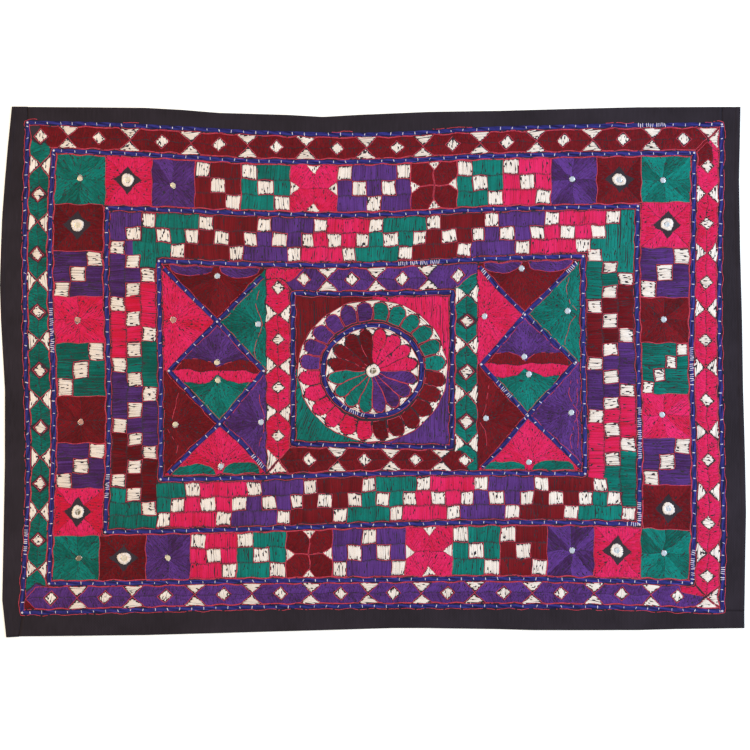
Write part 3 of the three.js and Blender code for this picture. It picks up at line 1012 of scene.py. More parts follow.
# The wheel in the centre square: threads by quarter, from the right and anticlockwise. The wheel's
# own thread fills the square's corner too, at the slant given in degrees
QUARTERS = [
    {"from": 0, "petals": "green", "wheel": "pink", "slant": 90},
    {"from": 90, "petals": "purple", "wheel": "maroon", "slant": 90},
    {"from": 180, "petals": "pink", "wheel": "green", "slant": 70},
    {"from": 270, "petals": "maroon", "wheel": "purple", "slant": 90},
]
WHEEL_MIDDLE = np.array([0, -1.5])
SCALLOPS = (112, 108.5)
# The share of an outline that is worn away on a petal, by its thread
OUTER_WEAR = {"pink": 0.5, "maroon": 0.5, "green": WORN, "purple": WORN}
WHEEL_WEAR = {"pink": 0.85, "maroon": 0.7, "green": WORN, "purple": WORN}
OUTER_PETALS, WHEEL_PETALS = 6, 4  # in each quarter
WHEEL_LEAN = 62  # degrees between a wheel petal's stitches and its middle line
ARC_STEPS = 12  # of the scalloped circle, in each quarter
SQUARE_CORNER = (113.7, 110.7)  # inside the square's braid
# Points round a petal: the share of the circle's radius, the share of the petal's span, and degrees more
OUTER_PETAL = [(0.715, 0, 0.8), (0.715, 0.5, 0), (0.715, 1, -0.8), (0.87, 1, -0.4), (0.945, 0.84, 0),
               (0.98, 0.5, 0), (0.945, 0.16, 0), (0.87, 0, 0.4)]
WHEEL_PETAL = [(0.1, 0, 0), (0.1, 1, 0), (0.5, 1, -0.5), (0.565, 0.8, 0), (0.598, 0.5, 0),
               (0.565, 0.2, 0), (0.5, 0, 0.5)]
# Points round the ivory lunette between a petal and the next, with spans from the petal's middle
OUTER_LUNETTE = [(0.99, 0.1, 0), (0.99, 0.5, 0), (0.99, 0.9, 0), (0.955, 0.7, 0), (0.875, 0.5, 0),
                 (0.955, 0.3, 0)]
WHEEL_LUNETTE = [(0.617, 0.12, 0), (0.617, 0.5, 0), (0.617, 0.88, 0), (0.578, 0.7, 0),
                 (0.515, 0.5, 0), (0.578, 0.3, 0)]


def polar(radius, degrees):
    """A point round the wheel, as a share of the scalloped circle's radius."""
    turn = math.radians(degrees)
    return WHEEL_MIDDLE + np.array([SCALLOPS[0] * math.cos(turn), SCALLOPS[1] * math.sin(turn)]) * radius


def round_wheel(points, start, span):
    """A ring of points round the wheel, from shares of its radius and of a span of degrees."""
    return [polar(radius, start + span * share + more) for radius, share, more in points]


def outer_petal(thread, start, span):
    """One rounded petal between the wheel's braid and the scalloped circle."""
    middle = start + span / 2
    ring = round_wheel(OUTER_PETAL, start, span)
    fill(thread, [ring], middle + 90 + hand.uniform(-10, 10))
    outline(ring, rest=OUTER_WEAR[thread])
    fill("ivory", [round_wheel(OUTER_LUNETTE, middle, span)], middle + span / 2 + 90, IVORY)


def wheel_petal(thread, start, span):
    """One petal of the wheel, from its mirror out to its scalloped rim."""
    middle = start + span / 2
    ring = round_wheel(WHEEL_PETAL, start, span)
    fill(thread, [ring], middle + WHEEL_LEAN)
    outline([*ring[1:], ring[0]], closed=False, rest=WHEEL_WEAR[thread])
    fill("ivory", [round_wheel(WHEEL_LUNETTE, middle, span)], middle + span / 2 + 90, IVORY)


def centre_wheel():
    """The wheel in its square: the square's corners, then the outer petals and the wheel's own."""
    for quarter in QUARTERS:
        start = quarter["from"]
        arc = [polar(1.0, start + i * 90 / ARC_STEPS) for i in range(ARC_STEPS + 1)]
        x = SQUARE_CORNER[0] * (1 if start in (0, 270) else -1)
        y = SQUARE_CORNER[1] * (1 if start < 180 else -1)
        ends = [(x, WHEEL_MIDDLE[1]), (x, y), (WHEEL_MIDDLE[0], y)]
        rim = ends if start in (0, 180) else ends[::-1]
        fill(quarter["wheel"], [[*arc, *rim[::-1]]], quarter["slant"], BLOCK)
        outline(arc, closed=False)
        for petal, key, count in (
            (outer_petal, "petals", OUTER_PETALS), (wheel_petal, "wheel", WHEEL_PETALS)
        ):
            span = 90 / count
            for i in range(count):
                petal(quarter[key], start + i * span, span)


for band in LOZENGE_BANDS:
    lozenge_band(**band)
for corner in (
    outer_triangles, outer_top_left, outer_bottom_left, outer_top_right, outer_bottom_right,
    outer_diagonals, inner_triangles, inner_top_left, inner_top_right, inner_bottom_left,
    inner_bottom_right,
):
    corner()
patch_band()
for band in MEANDERS:
    meander(**band)
meander_corners()
for panel in HOURGLASSES:
    hourglass(panel)
for line in WAVY:
    outline(line, closed=False, rest=WAVY_WEAR)
centre_wheel()


# Colours of the threads and the cloth, as sRGB values from 0 to 255
# A stitch's tone mixes its thread from deep toward light: the tone holds a random part, the painted
# sheen of upright threads and the painted light toward the right
THREADS = {
    "pink": {"light": (236, 42, 116), "deep": (202, 22, 57), "rough": 0.5},
    "maroon": {"light": (130, 17, 32), "deep": (86, 8, 18), "rough": 0.55},
    "green": {"light": (6, 140, 133), "deep": (3, 84, 76), "rough": 0.5},
    "purple": {"light": (102, 60, 152), "deep": (62, 30, 78), "rough": 0.5},
    "ivory": {"light": (254, 247, 245), "deep": (230, 217, 210), "rough": 0.6},
    "red": {"light": (222, 82, 106), "deep": (176, 46, 70), "rough": 0.6},
    "white": {"light": (246, 240, 250), "deep": (190, 186, 222), "rough": 0.6},
    "blue": {"light": (64, 64, 158), "deep": (26, 24, 72), "rough": 0.5},
}


def linear(colour):
    """A colour for a shader, from sRGB values."""
    parts = [c / 255 for c in colour]
    return (*[p / 12.92 if p <= 0.04045 else ((p + 0.055) / 1.055) ** 2.4 for p in parts], 1)


def new_group(name, inputs, outputs):
    """A shader node group with its sockets, and its input and output nodes."""
    group = bpy.data.node_groups.new(name, "ShaderNodeTree")
    for label, kind, value in inputs:
        socket = group.interface.new_socket(label, in_out="INPUT", socket_type=f"NodeSocket{kind}")
        socket.default_value = value
    for label, kind in outputs:
        group.interface.new_socket(label, in_out="OUTPUT", socket_type=f"NodeSocket{kind}")
    return group, group.nodes.new("NodeGroupInput"), group.nodes.new("NodeGroupOutput")


def node(tree, kind, **settings):
    """A node of a kind in a tree, with its settings."""
    made = tree.nodes.new(kind)
    for key, value in settings.items():
        setattr(made, key, value)
    return made


def calc(tree, operation, *values):
    """A math node on numbers and sockets."""
    made = node(tree, "ShaderNodeMath", operation=operation)
    for socket, value in zip(made.inputs, values):
        if isinstance(value, (int, float)):
            socket.default_value = value
        else:
            tree.links.new(value, socket)
    return made.outputs[0]


def clamped(tree, value):
    made = node(tree, "ShaderNodeClamp")
    tree.links.new(value, made.inputs["Value"])
    return made.outputs[0]


def noise(tree, place, scale, detail=2):
    """Soft noise of a scale, read at a place."""
    made = node(tree, "ShaderNodeTexNoise", noise_dimensions="3D")
    made.inputs["Scale"].default_value = scale
    made.inputs["Detail"].default_value = detail
    tree.links.new(place, made.inputs["Vector"])
    return made.outputs["Fac"]


def mixed(tree, factor, a, b):
    """A mix of two colours, each a value or a socket."""
    made = node(tree, "ShaderNodeMix", data_type="RGBA")
    tree.links.new(factor, made.inputs["Factor"])
    for socket, value in ((made.inputs[6], a), (made.inputs[7], b)):
        if isinstance(value, tuple):
            socket.default_value = value
        else:
            tree.links.new(value, socket)
    return made.outputs[2]


def twisted_thread():
    """Thread of plied strands: tone by the stitch, slubs along it, and the twist as height and as
    painted shade in the grooves between plies.
    """
    group, given, result = new_group(
        "twisted thread",
        [("Light", "Color", (1, 1, 1, 1)), ("Deep", "Color", (0, 0, 0, 1)), ("Ply", "Float", 1.7)],
        [("Color", "Color"), ("Roughness", "Float"), ("Height", "Float")],
    )
    # The tone read here holds each stitch's random tone, the painted sheen of upright threads and the
    # painted light toward the right
    tone, along, across = (
        node(group, "ShaderNodeAttribute", attribute_name=label).outputs["Fac"]
        for label in ("tone", "along", "across")
    )
    place = node(group, "ShaderNodeTexCoord").outputs["Object"]
    slub, worn = noise(group, place, 420), noise(group, place, 38)
    turns = calc(group, "MULTIPLY", along, calc(group, "DIVIDE", 2 * math.pi, given.outputs["Ply"]))
    strand = calc(group, "SINE", calc(group, "ADD", turns, calc(group, "MULTIPLY", across, 2.1)))
    shade = calc(group, "ADD", tone, calc(group, "MULTIPLY_ADD", slub, 0.55, -0.28))
    shade = calc(group, "ADD", shade, calc(group, "MULTIPLY_ADD", worn, 0.7, -0.35))
    # Painted shade: the twist darkens the colour in the grooves between plies and lightens it on their
    # crowns
    shade = clamped(group, calc(group, "MULTIPLY_ADD", strand, 0.08, shade))
    colour = mixed(group, shade, given.outputs["Deep"], given.outputs["Light"])
    group.links.new(colour, result.inputs["Color"])
    rough = calc(group, "MULTIPLY_ADD", slub, 0.25, 0.4)
    group.links.new(rough, result.inputs["Roughness"])
    group.links.new(calc(group, "MULTIPLY_ADD", strand, 0.5, 0.5), result.inputs["Height"])
    return group


def plain_weave():
    """Plain woven cotton: over-and-under threads as height and as painted shade in the weave's hollows,
    with slubs and faded patches.
    """
    group, given, result = new_group(
        "plain weave",
        [("Light", "Color", (1, 1, 1, 1)), ("Deep", "Color", (0, 0, 0, 1)), ("Threads", "Float", 1500)],
        [("Color", "Color"), ("Height", "Float")],
    )
    place = node(group, "ShaderNodeTexCoord").outputs["Object"]
    axes = node(group, "ShaderNodeSeparateXYZ")
    group.links.new(place, axes.inputs[0])
    warp = calc(group, "SINE", calc(group, "MULTIPLY", axes.outputs["X"], given.outputs["Threads"]))
    weft = calc(group, "SINE", calc(group, "MULTIPLY", axes.outputs["Y"], given.outputs["Threads"]))
    over = calc(group, "MULTIPLY_ADD", calc(group, "MULTIPLY", warp, weft), 0.5, 0.5)
    patches = noise(group, place, 14, detail=5)
    stretched = node(group, "ShaderNodeMapping")
    stretched.inputs["Scale"].default_value = (600, 45, 45)
    group.links.new(place, stretched.inputs["Vector"])
    streaks = noise(group, stretched.outputs[0], 1)
    shade = calc(group, "MULTIPLY_ADD", patches, 1.1, -0.2)
    shade = calc(group, "ADD", shade, calc(group, "MULTIPLY_ADD", streaks, 0.7, -0.35))
    # Painted shade: the cloth is darker where its threads dip under and lighter where they cross over
    shade = clamped(group, calc(group, "MULTIPLY_ADD", over, 0.25, shade))
    colour = mixed(group, shade, given.outputs["Deep"], given.outputs["Light"])
    group.links.new(colour, result.inputs["Color"])
    group.links.new(over, result.inputs["Height"])
    return group


TWISTED = twisted_thread()
WOVEN = plain_weave()


def new_material(name):
    material = bpy.data.materials.new(name)
    material.use_nodes = True
    return material, material.node_tree, material.node_tree.nodes["Principled BSDF"]


def put_group(tree, group, values):
    made = node(tree, "ShaderNodeGroup", node_tree=group)
    for label, value in values.items():
        made.inputs[label].default_value = value
    return made


BUMP_DEPTH = 0.0002  # in metres
THREAD_LOOK = {"relief": 0.35, "sheen": 0.02, "gloss": 0.12}
COTTON_LOOK = {"relief": 0.4, "roughness": 0.95, "gloss": 0.05}
GLASS_LOOK = {"clouds": 260, "clouded": 0.75, "metallic": 0.35}


def bumped(tree, shader, height, strength):
    """Gives a shader fine relief from a height between 0 and 1."""
    bump = node(tree, "ShaderNodeBump")
    bump.inputs["Strength"].default_value = strength
    bump.inputs["Distance"].default_value = BUMP_DEPTH
    tree.links.new(height, bump.inputs["Height"])
    tree.links.new(bump.outputs[0], shader.inputs["Normal"])


def thread_material(name, light, deep, rough):
    """Twisted thread between a light and a deep tone."""
    material, tree, shader = new_material(f"{name} thread")
    twisted = put_group(tree, TWISTED, {"Light": linear(light), "Deep": linear(deep)})
    tree.links.new(twisted.outputs["Color"], shader.inputs["Base Color"])
    tree.links.new(twisted.outputs["Roughness"], shader.inputs["Roughness"])
    bumped(tree, shader, twisted.outputs["Height"], THREAD_LOOK["relief"])
    shader.inputs["Sheen Weight"].default_value = THREAD_LOOK["sheen"]
    shader.inputs["Sheen Roughness"].default_value = rough
    shader.inputs["Specular IOR Level"].default_value = THREAD_LOOK["gloss"]
    return material


def cotton_material(name, light, deep):
    """Dull woven cotton between a light and a deep tone."""
    material, tree, shader = new_material(name)
    woven = put_group(tree, WOVEN, {"Light": linear(light), "Deep": linear(deep)})
    tree.links.new(woven.outputs["Color"], shader.inputs["Base Color"])
    bumped(tree, shader, woven.outputs["Height"], COTTON_LOOK["relief"])
    shader.inputs["Roughness"].default_value = COTTON_LOOK["roughness"]
    shader.inputs["Specular IOR Level"].default_value = COTTON_LOOK["gloss"]
    return material


def mirror_material(name, colour):
    """Old hand-cut mirror glass, a little clouded."""
    material, tree, shader = new_material(name)
    cloud = noise(tree, node(tree, "ShaderNodeTexCoord").outputs["Object"], GLASS_LOOK["clouds"])
    dull = tuple(c * GLASS_LOOK["clouded"] for c in linear(colour)[:3]) + (1,)
    tree.links.new(mixed(tree, cloud, dull, linear(colour)), shader.inputs["Base Color"])
    tree.links.new(calc(tree, "MULTIPLY_ADD", cloud, 0.25, 0.05), shader.inputs["Roughness"])
    shader.inputs["Metallic"].default_value = GLASS_LOOK["metallic"]
    return material


MATERIALS = {name: thread_material(name, **colours) for name, colours in THREADS.items()}
BORDER_COTTON = cotton_material("border cotton", (58, 52, 62), (38, 34, 39))
PANEL_COTTON = cotton_material("panel cotton", (72, 64, 74), (44, 38, 45))
# Mirror colours: warm and cool are painted reflections of the warm light from the left and the cool
# light from the right; rosy and dull are how those glasses look
GLASS = {
    "warm_reflection": mirror_material("mirror with painted warm reflection", (255, 242, 214)),
    "cool_reflection": mirror_material("mirror with painted cool reflection", (224, 238, 255)),
    "rosy": mirror_material("rosy mirror", (222, 160, 146)),
    "dull": mirror_material("dull mirror", (150, 138, 114)),
}


# The baking map is the cloth's plan in this square, in metres
MAP_SIZE = 1.16


def new_piece(name, points, faces, material, facts=None):
    """A mesh piece that lies with the cloth, with its plan as the baking map."""
    mesh = bpy.data.meshes.new(name)
    mesh.from_pydata(points.tolist(), [], faces.tolist())
    for label, values in (facts or {}).items():
        attribute = mesh.attributes.new(label, "FLOAT", "POINT")
        attribute.data.foreach_set("value", np.asarray(values, np.float32))
    plan = mesh.uv_layers.new(name="OFBake")
    corners = np.zeros(len(mesh.loops), np.int32)
    mesh.loops.foreach_get("vertex_index", corners)
    flat = (points[corners, :2] + MAP_SIZE / 2) / MAP_SIZE
    plan.data.foreach_set("uv", flat.astype(np.float32).ravel())
    mesh.shade_smooth()
    piece = bpy.data.objects.new(name, mesh)
    bpy.context.scene.collection.objects.link(piece)
    piece.data.materials.append(material)
    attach(piece, "root")
    return piece


# A stitch's stations: how far along it, its width there and how much of its rise
STITCH = {"at": [0, 0.13, 0.87, 1], "wide": [0.5, 1, 1, 0.5], "rise": [0, 1, 1, 0]}
STITCH_EDGE_RISE = 0.25


def stitches(name, rows, material):
    """Every stitch of one thread as one mesh: a low rounded ridge that dips in at both ends."""
    rows = np.array(rows)
    start, end, width, foot, crown, tone = rows[:, :2], rows[:, 2:4], *rows[:, 4:].T
    if name != "stitches_white":
        start, end = uneven(start), uneven(end)
    start, end = worked(start), worked(end)
    run = end - start
    length = np.maximum(np.hypot(*run.T), 0.2)
    side = np.stack([-run[:, 1], run[:, 0]], axis=1) / length[:, None]
    points, along, across = [], [], []
    for at, wide, rise in zip(*STITCH.values()):
        centre = start + run * at
        for edge, up in ((-1, STITCH_EDGE_RISE), (0, 1.0), (1, STITCH_EDGE_RISE)):
            flat = centre + side * (edge * wide * width / 2)[:, None]
            points.append(placed(flat, foot + (crown - foot) * rise * up))
            along.append(length * at)
            across.append(np.full(len(rows), float(edge)))
    count = len(points)
    points = np.stack(points, axis=1).reshape(-1, 3)
    quads = []
    for station in range(len(STITCH["at"]) - 1):
        for edge in (0, 1):
            a = station * 3 + edge
            quads.append((a, a + 3, a + 4, a + 1))
    faces = (np.arange(len(rows))[:, None, None] * count + np.array(quads)[None]).reshape(-1, 4)
    facts = {
        "tone": np.repeat(tone, count),
        "along": np.stack(along, axis=1).ravel(),
        "across": np.stack(across, axis=1).ravel(),
    }
    return new_piece(name, points, faces, material, facts)


# The laid braids: four blue strands side by side, tied down by white stitches
BRAID = {"strands": [-2.2, -0.75, 0.75, 2.2], "strand": 1.7, "height": 1.25, "step": 3.0}
STRAND_EDGE_RISE, OUTER_STRAND_DROP = 0.15, 0.1  # shares of the braid's height
# Where a couching stitch draws the strands in: how far along, how much narrower and how much lower
PINCH = {"reach": 2.6, "narrow": 0.14, "low": 0.3}
COUCHING = {"every": 16.5, "close": 3.7, "width": 1.2, "edge": 4.2, "foot": 0.2, "over": 0.15}
# Half a couching stitch's length as a share of the way to the braid's edge, and how it strays and leans
LONE_HALF, CLOSE_HALF = (0.36, 0.62), 0.72
COUCHING_STRAY, COUCHING_LEAN = 0.6, 0.45
NO_TIE = 99  # how far past a braid's ends a next couching stitch is taken to be
EDGE_WEAR = 0.1  # the share of the red stitches along a braid that is worn away


def tied_at(flat, gone, dense):
    """How far along a laid braid its couching stitches are, closer together in the dense boxes."""
    ties = []
    last = -COUCHING["every"] * hand.uniform(0.3, 0.8)
    at = 0.0
    while at < gone[-1]:
        close = inside(flat[np.searchsorted(gone, at)], dense)
        if close or at - last > COUCHING["every"]:
            ties.append(at)
            last = at
        at += COUCHING["close"] * hand.uniform(0.86, 1.14)
    return np.array(ties)


def course(path, closed):
    """A braid's line: chart and cloth points, the way to its left, and how far along each point is."""
    chart = resampled(path, BRAID["step"], closed)
    flat = worked(chart)
    ahead = np.roll(flat, -1, axis=0) - np.roll(flat, 1, axis=0)
    if not closed:
        ahead[0], ahead[-1] = flat[1] - flat[0], flat[-1] - flat[-2]
    ahead /= np.hypot(*ahead.T)[:, None]
    side = np.stack([-ahead[:, 1], ahead[:, 0]], axis=1)
    before = np.roll(flat, 1, axis=0)
    gone = np.hypot(*(flat - before).T)
    gone[0] = 0
    return chart, flat, side, np.cumsum(gone)


def strands(path, closed, base, dense, lost):
    """The strands of one length of laid braid, sewn down as it goes: points, faces and thread facts."""
    chart, flat, side, gone = course(path, closed)
    ties = tied_at(flat, gone, dense)
    pinch = np.exp(-(((gone[:, None] - ties[None]) / PINCH["reach"]) ** 2)).max(axis=1)
    points, tones, runs, edges = [], [], [], []
    for strand in BRAID["strands"]:
        tone = hand.uniform(0.25, 0.75)
        stray = 0.2 * np.sin(gone / hand.uniform(17, 29) + hand.uniform(0, 6))
        for edge, up in ((-1, STRAND_EDGE_RISE), (0, 1), (1, STRAND_EDGE_RISE)):
            off = (strand + stray + edge * BRAID["strand"] / 2) * (1 - PINCH["narrow"] * pinch)
            crown = 1 - OUTER_STRAND_DROP * abs(strand) / BRAID["strands"][-1]
            rise = BRAID["height"] * up * (1 - PINCH["low"] * pinch) * crown
            points.append(placed(flat + side * off[:, None], base + rise))
            worn = 0.25 * np.sin(gone / 4.1 + 2 * np.sin(gone / 23) + strand)
            worn += 0.2 * np.sin(gone / 9 + strand)
            tones.append(np.clip(tone + worn, 0, 1))
            runs.append(gone)
            edges.append(np.full(len(gone), float(edge)))
    count = len(flat)
    faces = []
    steps = np.arange(count if closed else count - 1)
    ahead_of = (steps + 1) % count
    for row in range(len(points) - 1):
        if row % 3 != 2:
            low, high = row * count, (row + 1) * count
            faces.append(np.stack([low + steps, low + ahead_of, high + ahead_of, high + steps], axis=1))
    sew_down(chart, side, gone, ties, base, closed, lost)
    facts = {"tone": tones, "along": runs, "across": edges}
    facts = {label: np.concatenate(values) for label, values in facts.items()}
    return np.concatenate(points), np.concatenate(faces), facts


def sew_down(chart, side, gone, ties, base, closed, lost):
    """The couching stitches over a laid braid, and the red threads along its edges."""
    before = np.diff(ties, prepend=-NO_TIE)
    after = np.diff(ties, append=gone[-1] + NO_TIE)
    alone = np.minimum(before, after) > COUCHING["every"] / 2
    for tie, single in zip(ties, alone):
        i = min(int(np.searchsorted(gone, tie)), len(chart) - 1)
        half = (hand.uniform(*LONE_HALF) if single else CLOSE_HALF) * COUCHING["edge"]
        off = hand.uniform(-COUCHING_STRAY, COUCHING_STRAY)
        lean = np.array([side[i][1], -side[i][0]]) * hand.normal(0, COUCHING_LEAN)
        start = chart[i] + side[i] * (off - half) - lean
        end = chart[i] + side[i] * (off + half) + lean
        foot, top = base + COUCHING["foot"], base + BRAID["height"] + COUCHING["over"]
        wide = COUCHING["width"] * hand.uniform(0.8, 1.25)
        sew("white", start, end, wide, foot, top, hand.uniform(0.3, 1))
    for offset in (-COUCHING["edge"], COUCHING["edge"]):
        outline(chart + side * offset, closed, rest=EDGE_WEAR, lost=lost)


def braid(name, paths, closed, base, dense=(), lost=()):
    """A laid braid along one or more lines of chart points."""
    points, faces = [], []
    facts = {"tone": [], "along": [], "across": []}
    for path in paths:
        made, sides, told = strands(path, closed, base, dense, lost)
        faces.append(sides + sum(len(p) for p in points))
        points.append(made)
        for label, values in told.items():
            facts[label].append(values)
    facts = {label: np.concatenate(values) for label, values in facts.items()}
    points, faces = np.concatenate(points), np.concatenate(faces)
    piece = new_piece(f"laid_{name}", points, faces, MATERIALS["blue"], facts)
    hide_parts(name)
    return piece


RING_POINTS = 72


def frame_path(half):
    return rectangle_between(-half[0], -half[1], half[0], half[1])


def ring_path(middle, across):
    turns = np.linspace(0, 2 * math.pi, RING_POINTS, endpoint=False)
    around = np.stack([across[0] * np.cos(turns), across[1] * np.sin(turns)], axis=1)
    return np.array(middle) + around


# Stretches where the couching is close, as boxes on the cloth: low x and y, high x and y
CLOSE = {
    "braid_outer": [(395, 360, 441, 385), (-540, -275, -510, -230), (500, -312, 540, -292)],
    "braid_second": [(-500, 30, -470, 96), (460, -20, 500, 37), (460, -305, 500, -267)],
    "braid_third": [(380, -132, 420, -52), (380, -232, 420, -192), (-410, -192, -380, -154)],
    "braid_inner": [(33, 150, 100, 180)],
    "braid_ring": [(-42, -66, -12, -45)],
    "braid_hourglass_left": [(-188, -144, -160, -124)],
    "braid_hourglass_right": [(182, -42, 208, -18), (291, 146, 308, 165), (160, 138, 176, 153)],
}
# Stretches of the far edge where the outermost red thread is gone, as boxes on the chart
LOST = [(-505, 361, -372, 368), (-345, 361, -60, 368), (-28, 361, 92, 368), (150, 361, 352, 368),
        (395, 361, 500, 368)]
LOW, HIGH = COTTON + GAP, WORKED + GAP
laid = [
    braid("braid_outer", [frame_path(OUTER)], True, LOW, CLOSE["braid_outer"], LOST),
    braid("braid_second", [frame_path(SECOND)], True, LOW, CLOSE["braid_second"]),
    braid("braid_third", [frame_path(THIRD)], True, LOW, CLOSE["braid_third"]),
    braid("braid_inner", [frame_path(INNER)], True, LOW, CLOSE["braid_inner"]),
    braid("braid_square", [frame_path(SQUARE)], True, LOW),
    braid("braid_ring", [ring_path(**WHEEL)], True, HIGH, CLOSE["braid_ring"]),
]


def zigzags(panel):
    """The two lines of braid that cross in a side panel, from its top corners to its bottom ones."""
    return [
        [head, panel["upper"], panel[waist], panel["lower"], foot]
        for head, waist, foot in zip(panel["heads"], ("right", "left"), panel["feet"])
    ]


KNOT = {"turns": (20, 80, 140), "reach": 1.9, "width": 1.2, "foot": 0.4, "crown": 1.9, "tone": 0.8}


def knot(x, y, base):
    """A little white knot where laid braids cross or bend."""
    foot, crown = base + KNOT["foot"], base + KNOT["crown"]
    for turn in np.radians(KNOT["turns"]):
        reach = np.array([math.cos(turn), math.sin(turn)]) * KNOT["reach"]
        sew("white", (x, y) - reach, (x, y) + reach, KNOT["width"], foot, crown, KNOT["tone"])


for panel in HOURGLASSES:
    laid.append(braid(panel["name"], zigzags(panel), False, HIGH, CLOSE[panel["name"]]))
    for key in CROSSINGS:
        knot(*panel[key], HIGH)
for half in (OUTER, SECOND, THIRD, INNER):
    for sx in (-1, 1):
        for sy in (-1, 1):
            knot(sx * half[0], sy * half[1], LOW)


# The stitches round a mirror: how many, from where out to where, and how their reach and tone vary
WORKED_RING = {"count": 34, "near": 3.9, "far": 9.7, "reach": (0.95, 1.04), "width": 1.7, "rise": 1.6,
               "tone": (0.4, 1)}
CATCHES = {"count": 12, "near": 3.3, "far": 4.5, "reach": (0.9, 1.1), "width": 1.2, "rise": 1.15,
           "tone": (0.5, 1)}
# The two threads that cross a ringed mirror, from its middle, and where they lie above the worked cloth
CROSSING = [((-3.0, 1.4), (3.4, 2.0)), ((-0.9, -4.2), (-1.3, 4.2))]
CROSSING_LAY = {"width": 0.9, "foot": 1.2, "crown": 1.8, "tone": 0.6}
IVORY_CATCHES_LEFT_OF = -200


def sew_round(x, y, thread, count, near, far, reach, width, rise, tone):
    """A ring of stitches that point out from the middle of a mirror."""
    for i in range(count):
        turn = 2 * math.pi * (i + hand.uniform(-0.2, 0.2)) / count
        out = np.array([math.cos(turn), math.sin(turn)])
        end = (x, y) + out * (far * hand.uniform(*reach))
        sew(thread, (x, y) + out * near, end, width, WORKED, WORKED + rise, hand.uniform(*tone))


def sew_rings():
    """The worked rings that hold the bigger mirrors, and the catching stitches of the small ones."""
    foot, crown = WORKED + CROSSING_LAY["foot"], WORKED + CROSSING_LAY["crown"]
    for x, y in RINGED_AT:
        sew_round(x, y, "ivory", **WORKED_RING)
        for (ax, ay), (bx, by) in CROSSING:
            sew("ivory", (x + ax, y + ay), (x + bx, y + by), CROSSING_LAY["width"], foot, crown,
                CROSSING_LAY["tone"])
    for x, y in SMALL_AT:
        sew_round(x, y, "ivory" if x < IVORY_CATCHES_LEFT_OF else "white", **CATCHES)


sew_rings()


MIRROR_RADIUS = {"ringed": 4.5, "small": 4.0}
CHIP = {"sides": 11, "tilt": 0.02}
# A chip's levels: their share of its reach and their height above the worked cloth
CHIP_LEVELS = ((1, 0.3), (1, 0.9), (0.86, 1.05))


def mirrors(name, places, sizes, nodes, material):
    """Hand-cut glass: flat many-sided chips, each with a narrow bevel."""
    points, faces = [], []
    sides = CHIP["sides"]
    for place, radius in zip(places, sizes):
        turns = np.linspace(0, 2 * math.pi, sides, endpoint=False) + hand.uniform(0, 1)
        reach = radius * hand.uniform(0.9, 1.0, sides)
        rim = np.stack([np.cos(turns), np.sin(turns)], axis=1)
        middle = worked([place])[0]
        tilt = hand.uniform(-CHIP["tilt"], CHIP["tilt"], 2)
        first = sum(len(p) for p in points)
        for share, above in CHIP_LEVELS:
            flat = middle + rim * (reach * share)[:, None]
            made = placed(flat, WORKED + above + (flat - middle) @ tilt)
            made[:, 2] += placed(middle[None], 0)[0, 2] - placed(flat, 0)[:, 2]
            points.append(made)
        for low in (0, sides):
            for i in range(sides):
                j = (i + 1) % sides
                a, b, c, d = low + i, low + j, low + sides + j, low + sides + i
                faces.extend([(first + a, first + b, first + c), (first + a, first + c, first + d)])
        top = first + 2 * sides
        faces.extend((top, top + i, top + i + 1) for i in range(1, sides - 1))
        faces.extend((first, first + i + 1, first + i) for i in range(1, sides - 1))
    piece = new_piece(name, np.concatenate(points), np.array(faces), material)
    piece.data.shade_flat()
    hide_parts(*nodes)
    return piece


ringed = [f"ringed_mirror_{i + 1}" for i in range(len(RINGED_AT))]
small = [f"small_mirror_{i + 1:02d}" for i in range(len(SMALL_AT))]
radii = [MIRROR_RADIUS["ringed"]] * len(ringed) + [MIRROR_RADIUS["small"]] * len(small)
every_mirror = list(zip(RINGED_AT + SMALL_AT, radii, ringed + small))
# Mirrors whose glass looks rosy or dull, by their places on the chart
ROSY = [(-441, 73), (-440, -75), (-298, 73)]
DULL = [(1, -2), (-437, -277), (-441, -205)]
# Mirrors left of this get the painted warm reflection, the others the painted cool one
WARM_REFLECTION_LEFT_OF = -231


def tint_of(place):
    """The colour of a mirror's glass, by where it is on the chart: warm and cool are painted reflections
    of the warm light from the left and the cool light from the right.
    """
    if place in ROSY:
        return "rosy"
    if place in DULL:
        return "dull"
    return "warm_reflection" if place[0] < WARM_REFLECTION_LEFT_OF else "cool_reflection"


for tint, material in GLASS.items():
    here = [mirror for mirror in every_mirror if tint_of(mirror[0]) == tint]
    mirrors(f"mirrors_{tint}", *[list(column) for column in zip(*here)], material)


def cloth_sheet(name, top, bottom_z, top_z, node_name, material):
    """A sheet of cotton from a grid of cloth points: a face, a back and the edges between."""
    rows, columns = top.shape[:2]
    flat = top.reshape(-1, 2)
    points = np.vstack([placed(flat, bottom_z), placed(flat, top_z)])
    number = np.arange(rows * columns).reshape(rows, columns)
    a, b, c, d = number[:-1, :-1], number[:-1, 1:], number[1:, 1:], number[1:, :-1]
    back = np.stack([a, d, c, b], axis=-1).reshape(-1, 4)
    face = np.stack([a, b, c, d], axis=-1).reshape(-1, 4) + rows * columns
    rim = np.concatenate([number[0, :-1], number[:-1, -1], number[-1, :0:-1], number[:0:-1, 0]])
    after = np.roll(rim, -1)
    up = rows * columns
    edge = np.stack([rim, after, after + up, rim + up], axis=1)
    piece = new_piece(name, points, np.concatenate([back, face, edge]), material)
    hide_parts(node_name)
    return piece


PANEL_STEP = 6.0


def chart_grid(half_x, half_y, step):
    """A grid of cloth points over the panel, a row for each step up it."""
    x = np.linspace(-half_x, half_x, round(2 * half_x / step) + 1)
    y = np.linspace(-half_y, half_y, round(2 * half_y / step) + 1)
    grid = np.stack(np.meshgrid(x, y), axis=-1)
    return worked(grid.reshape(-1, 2)).reshape(grid.shape)


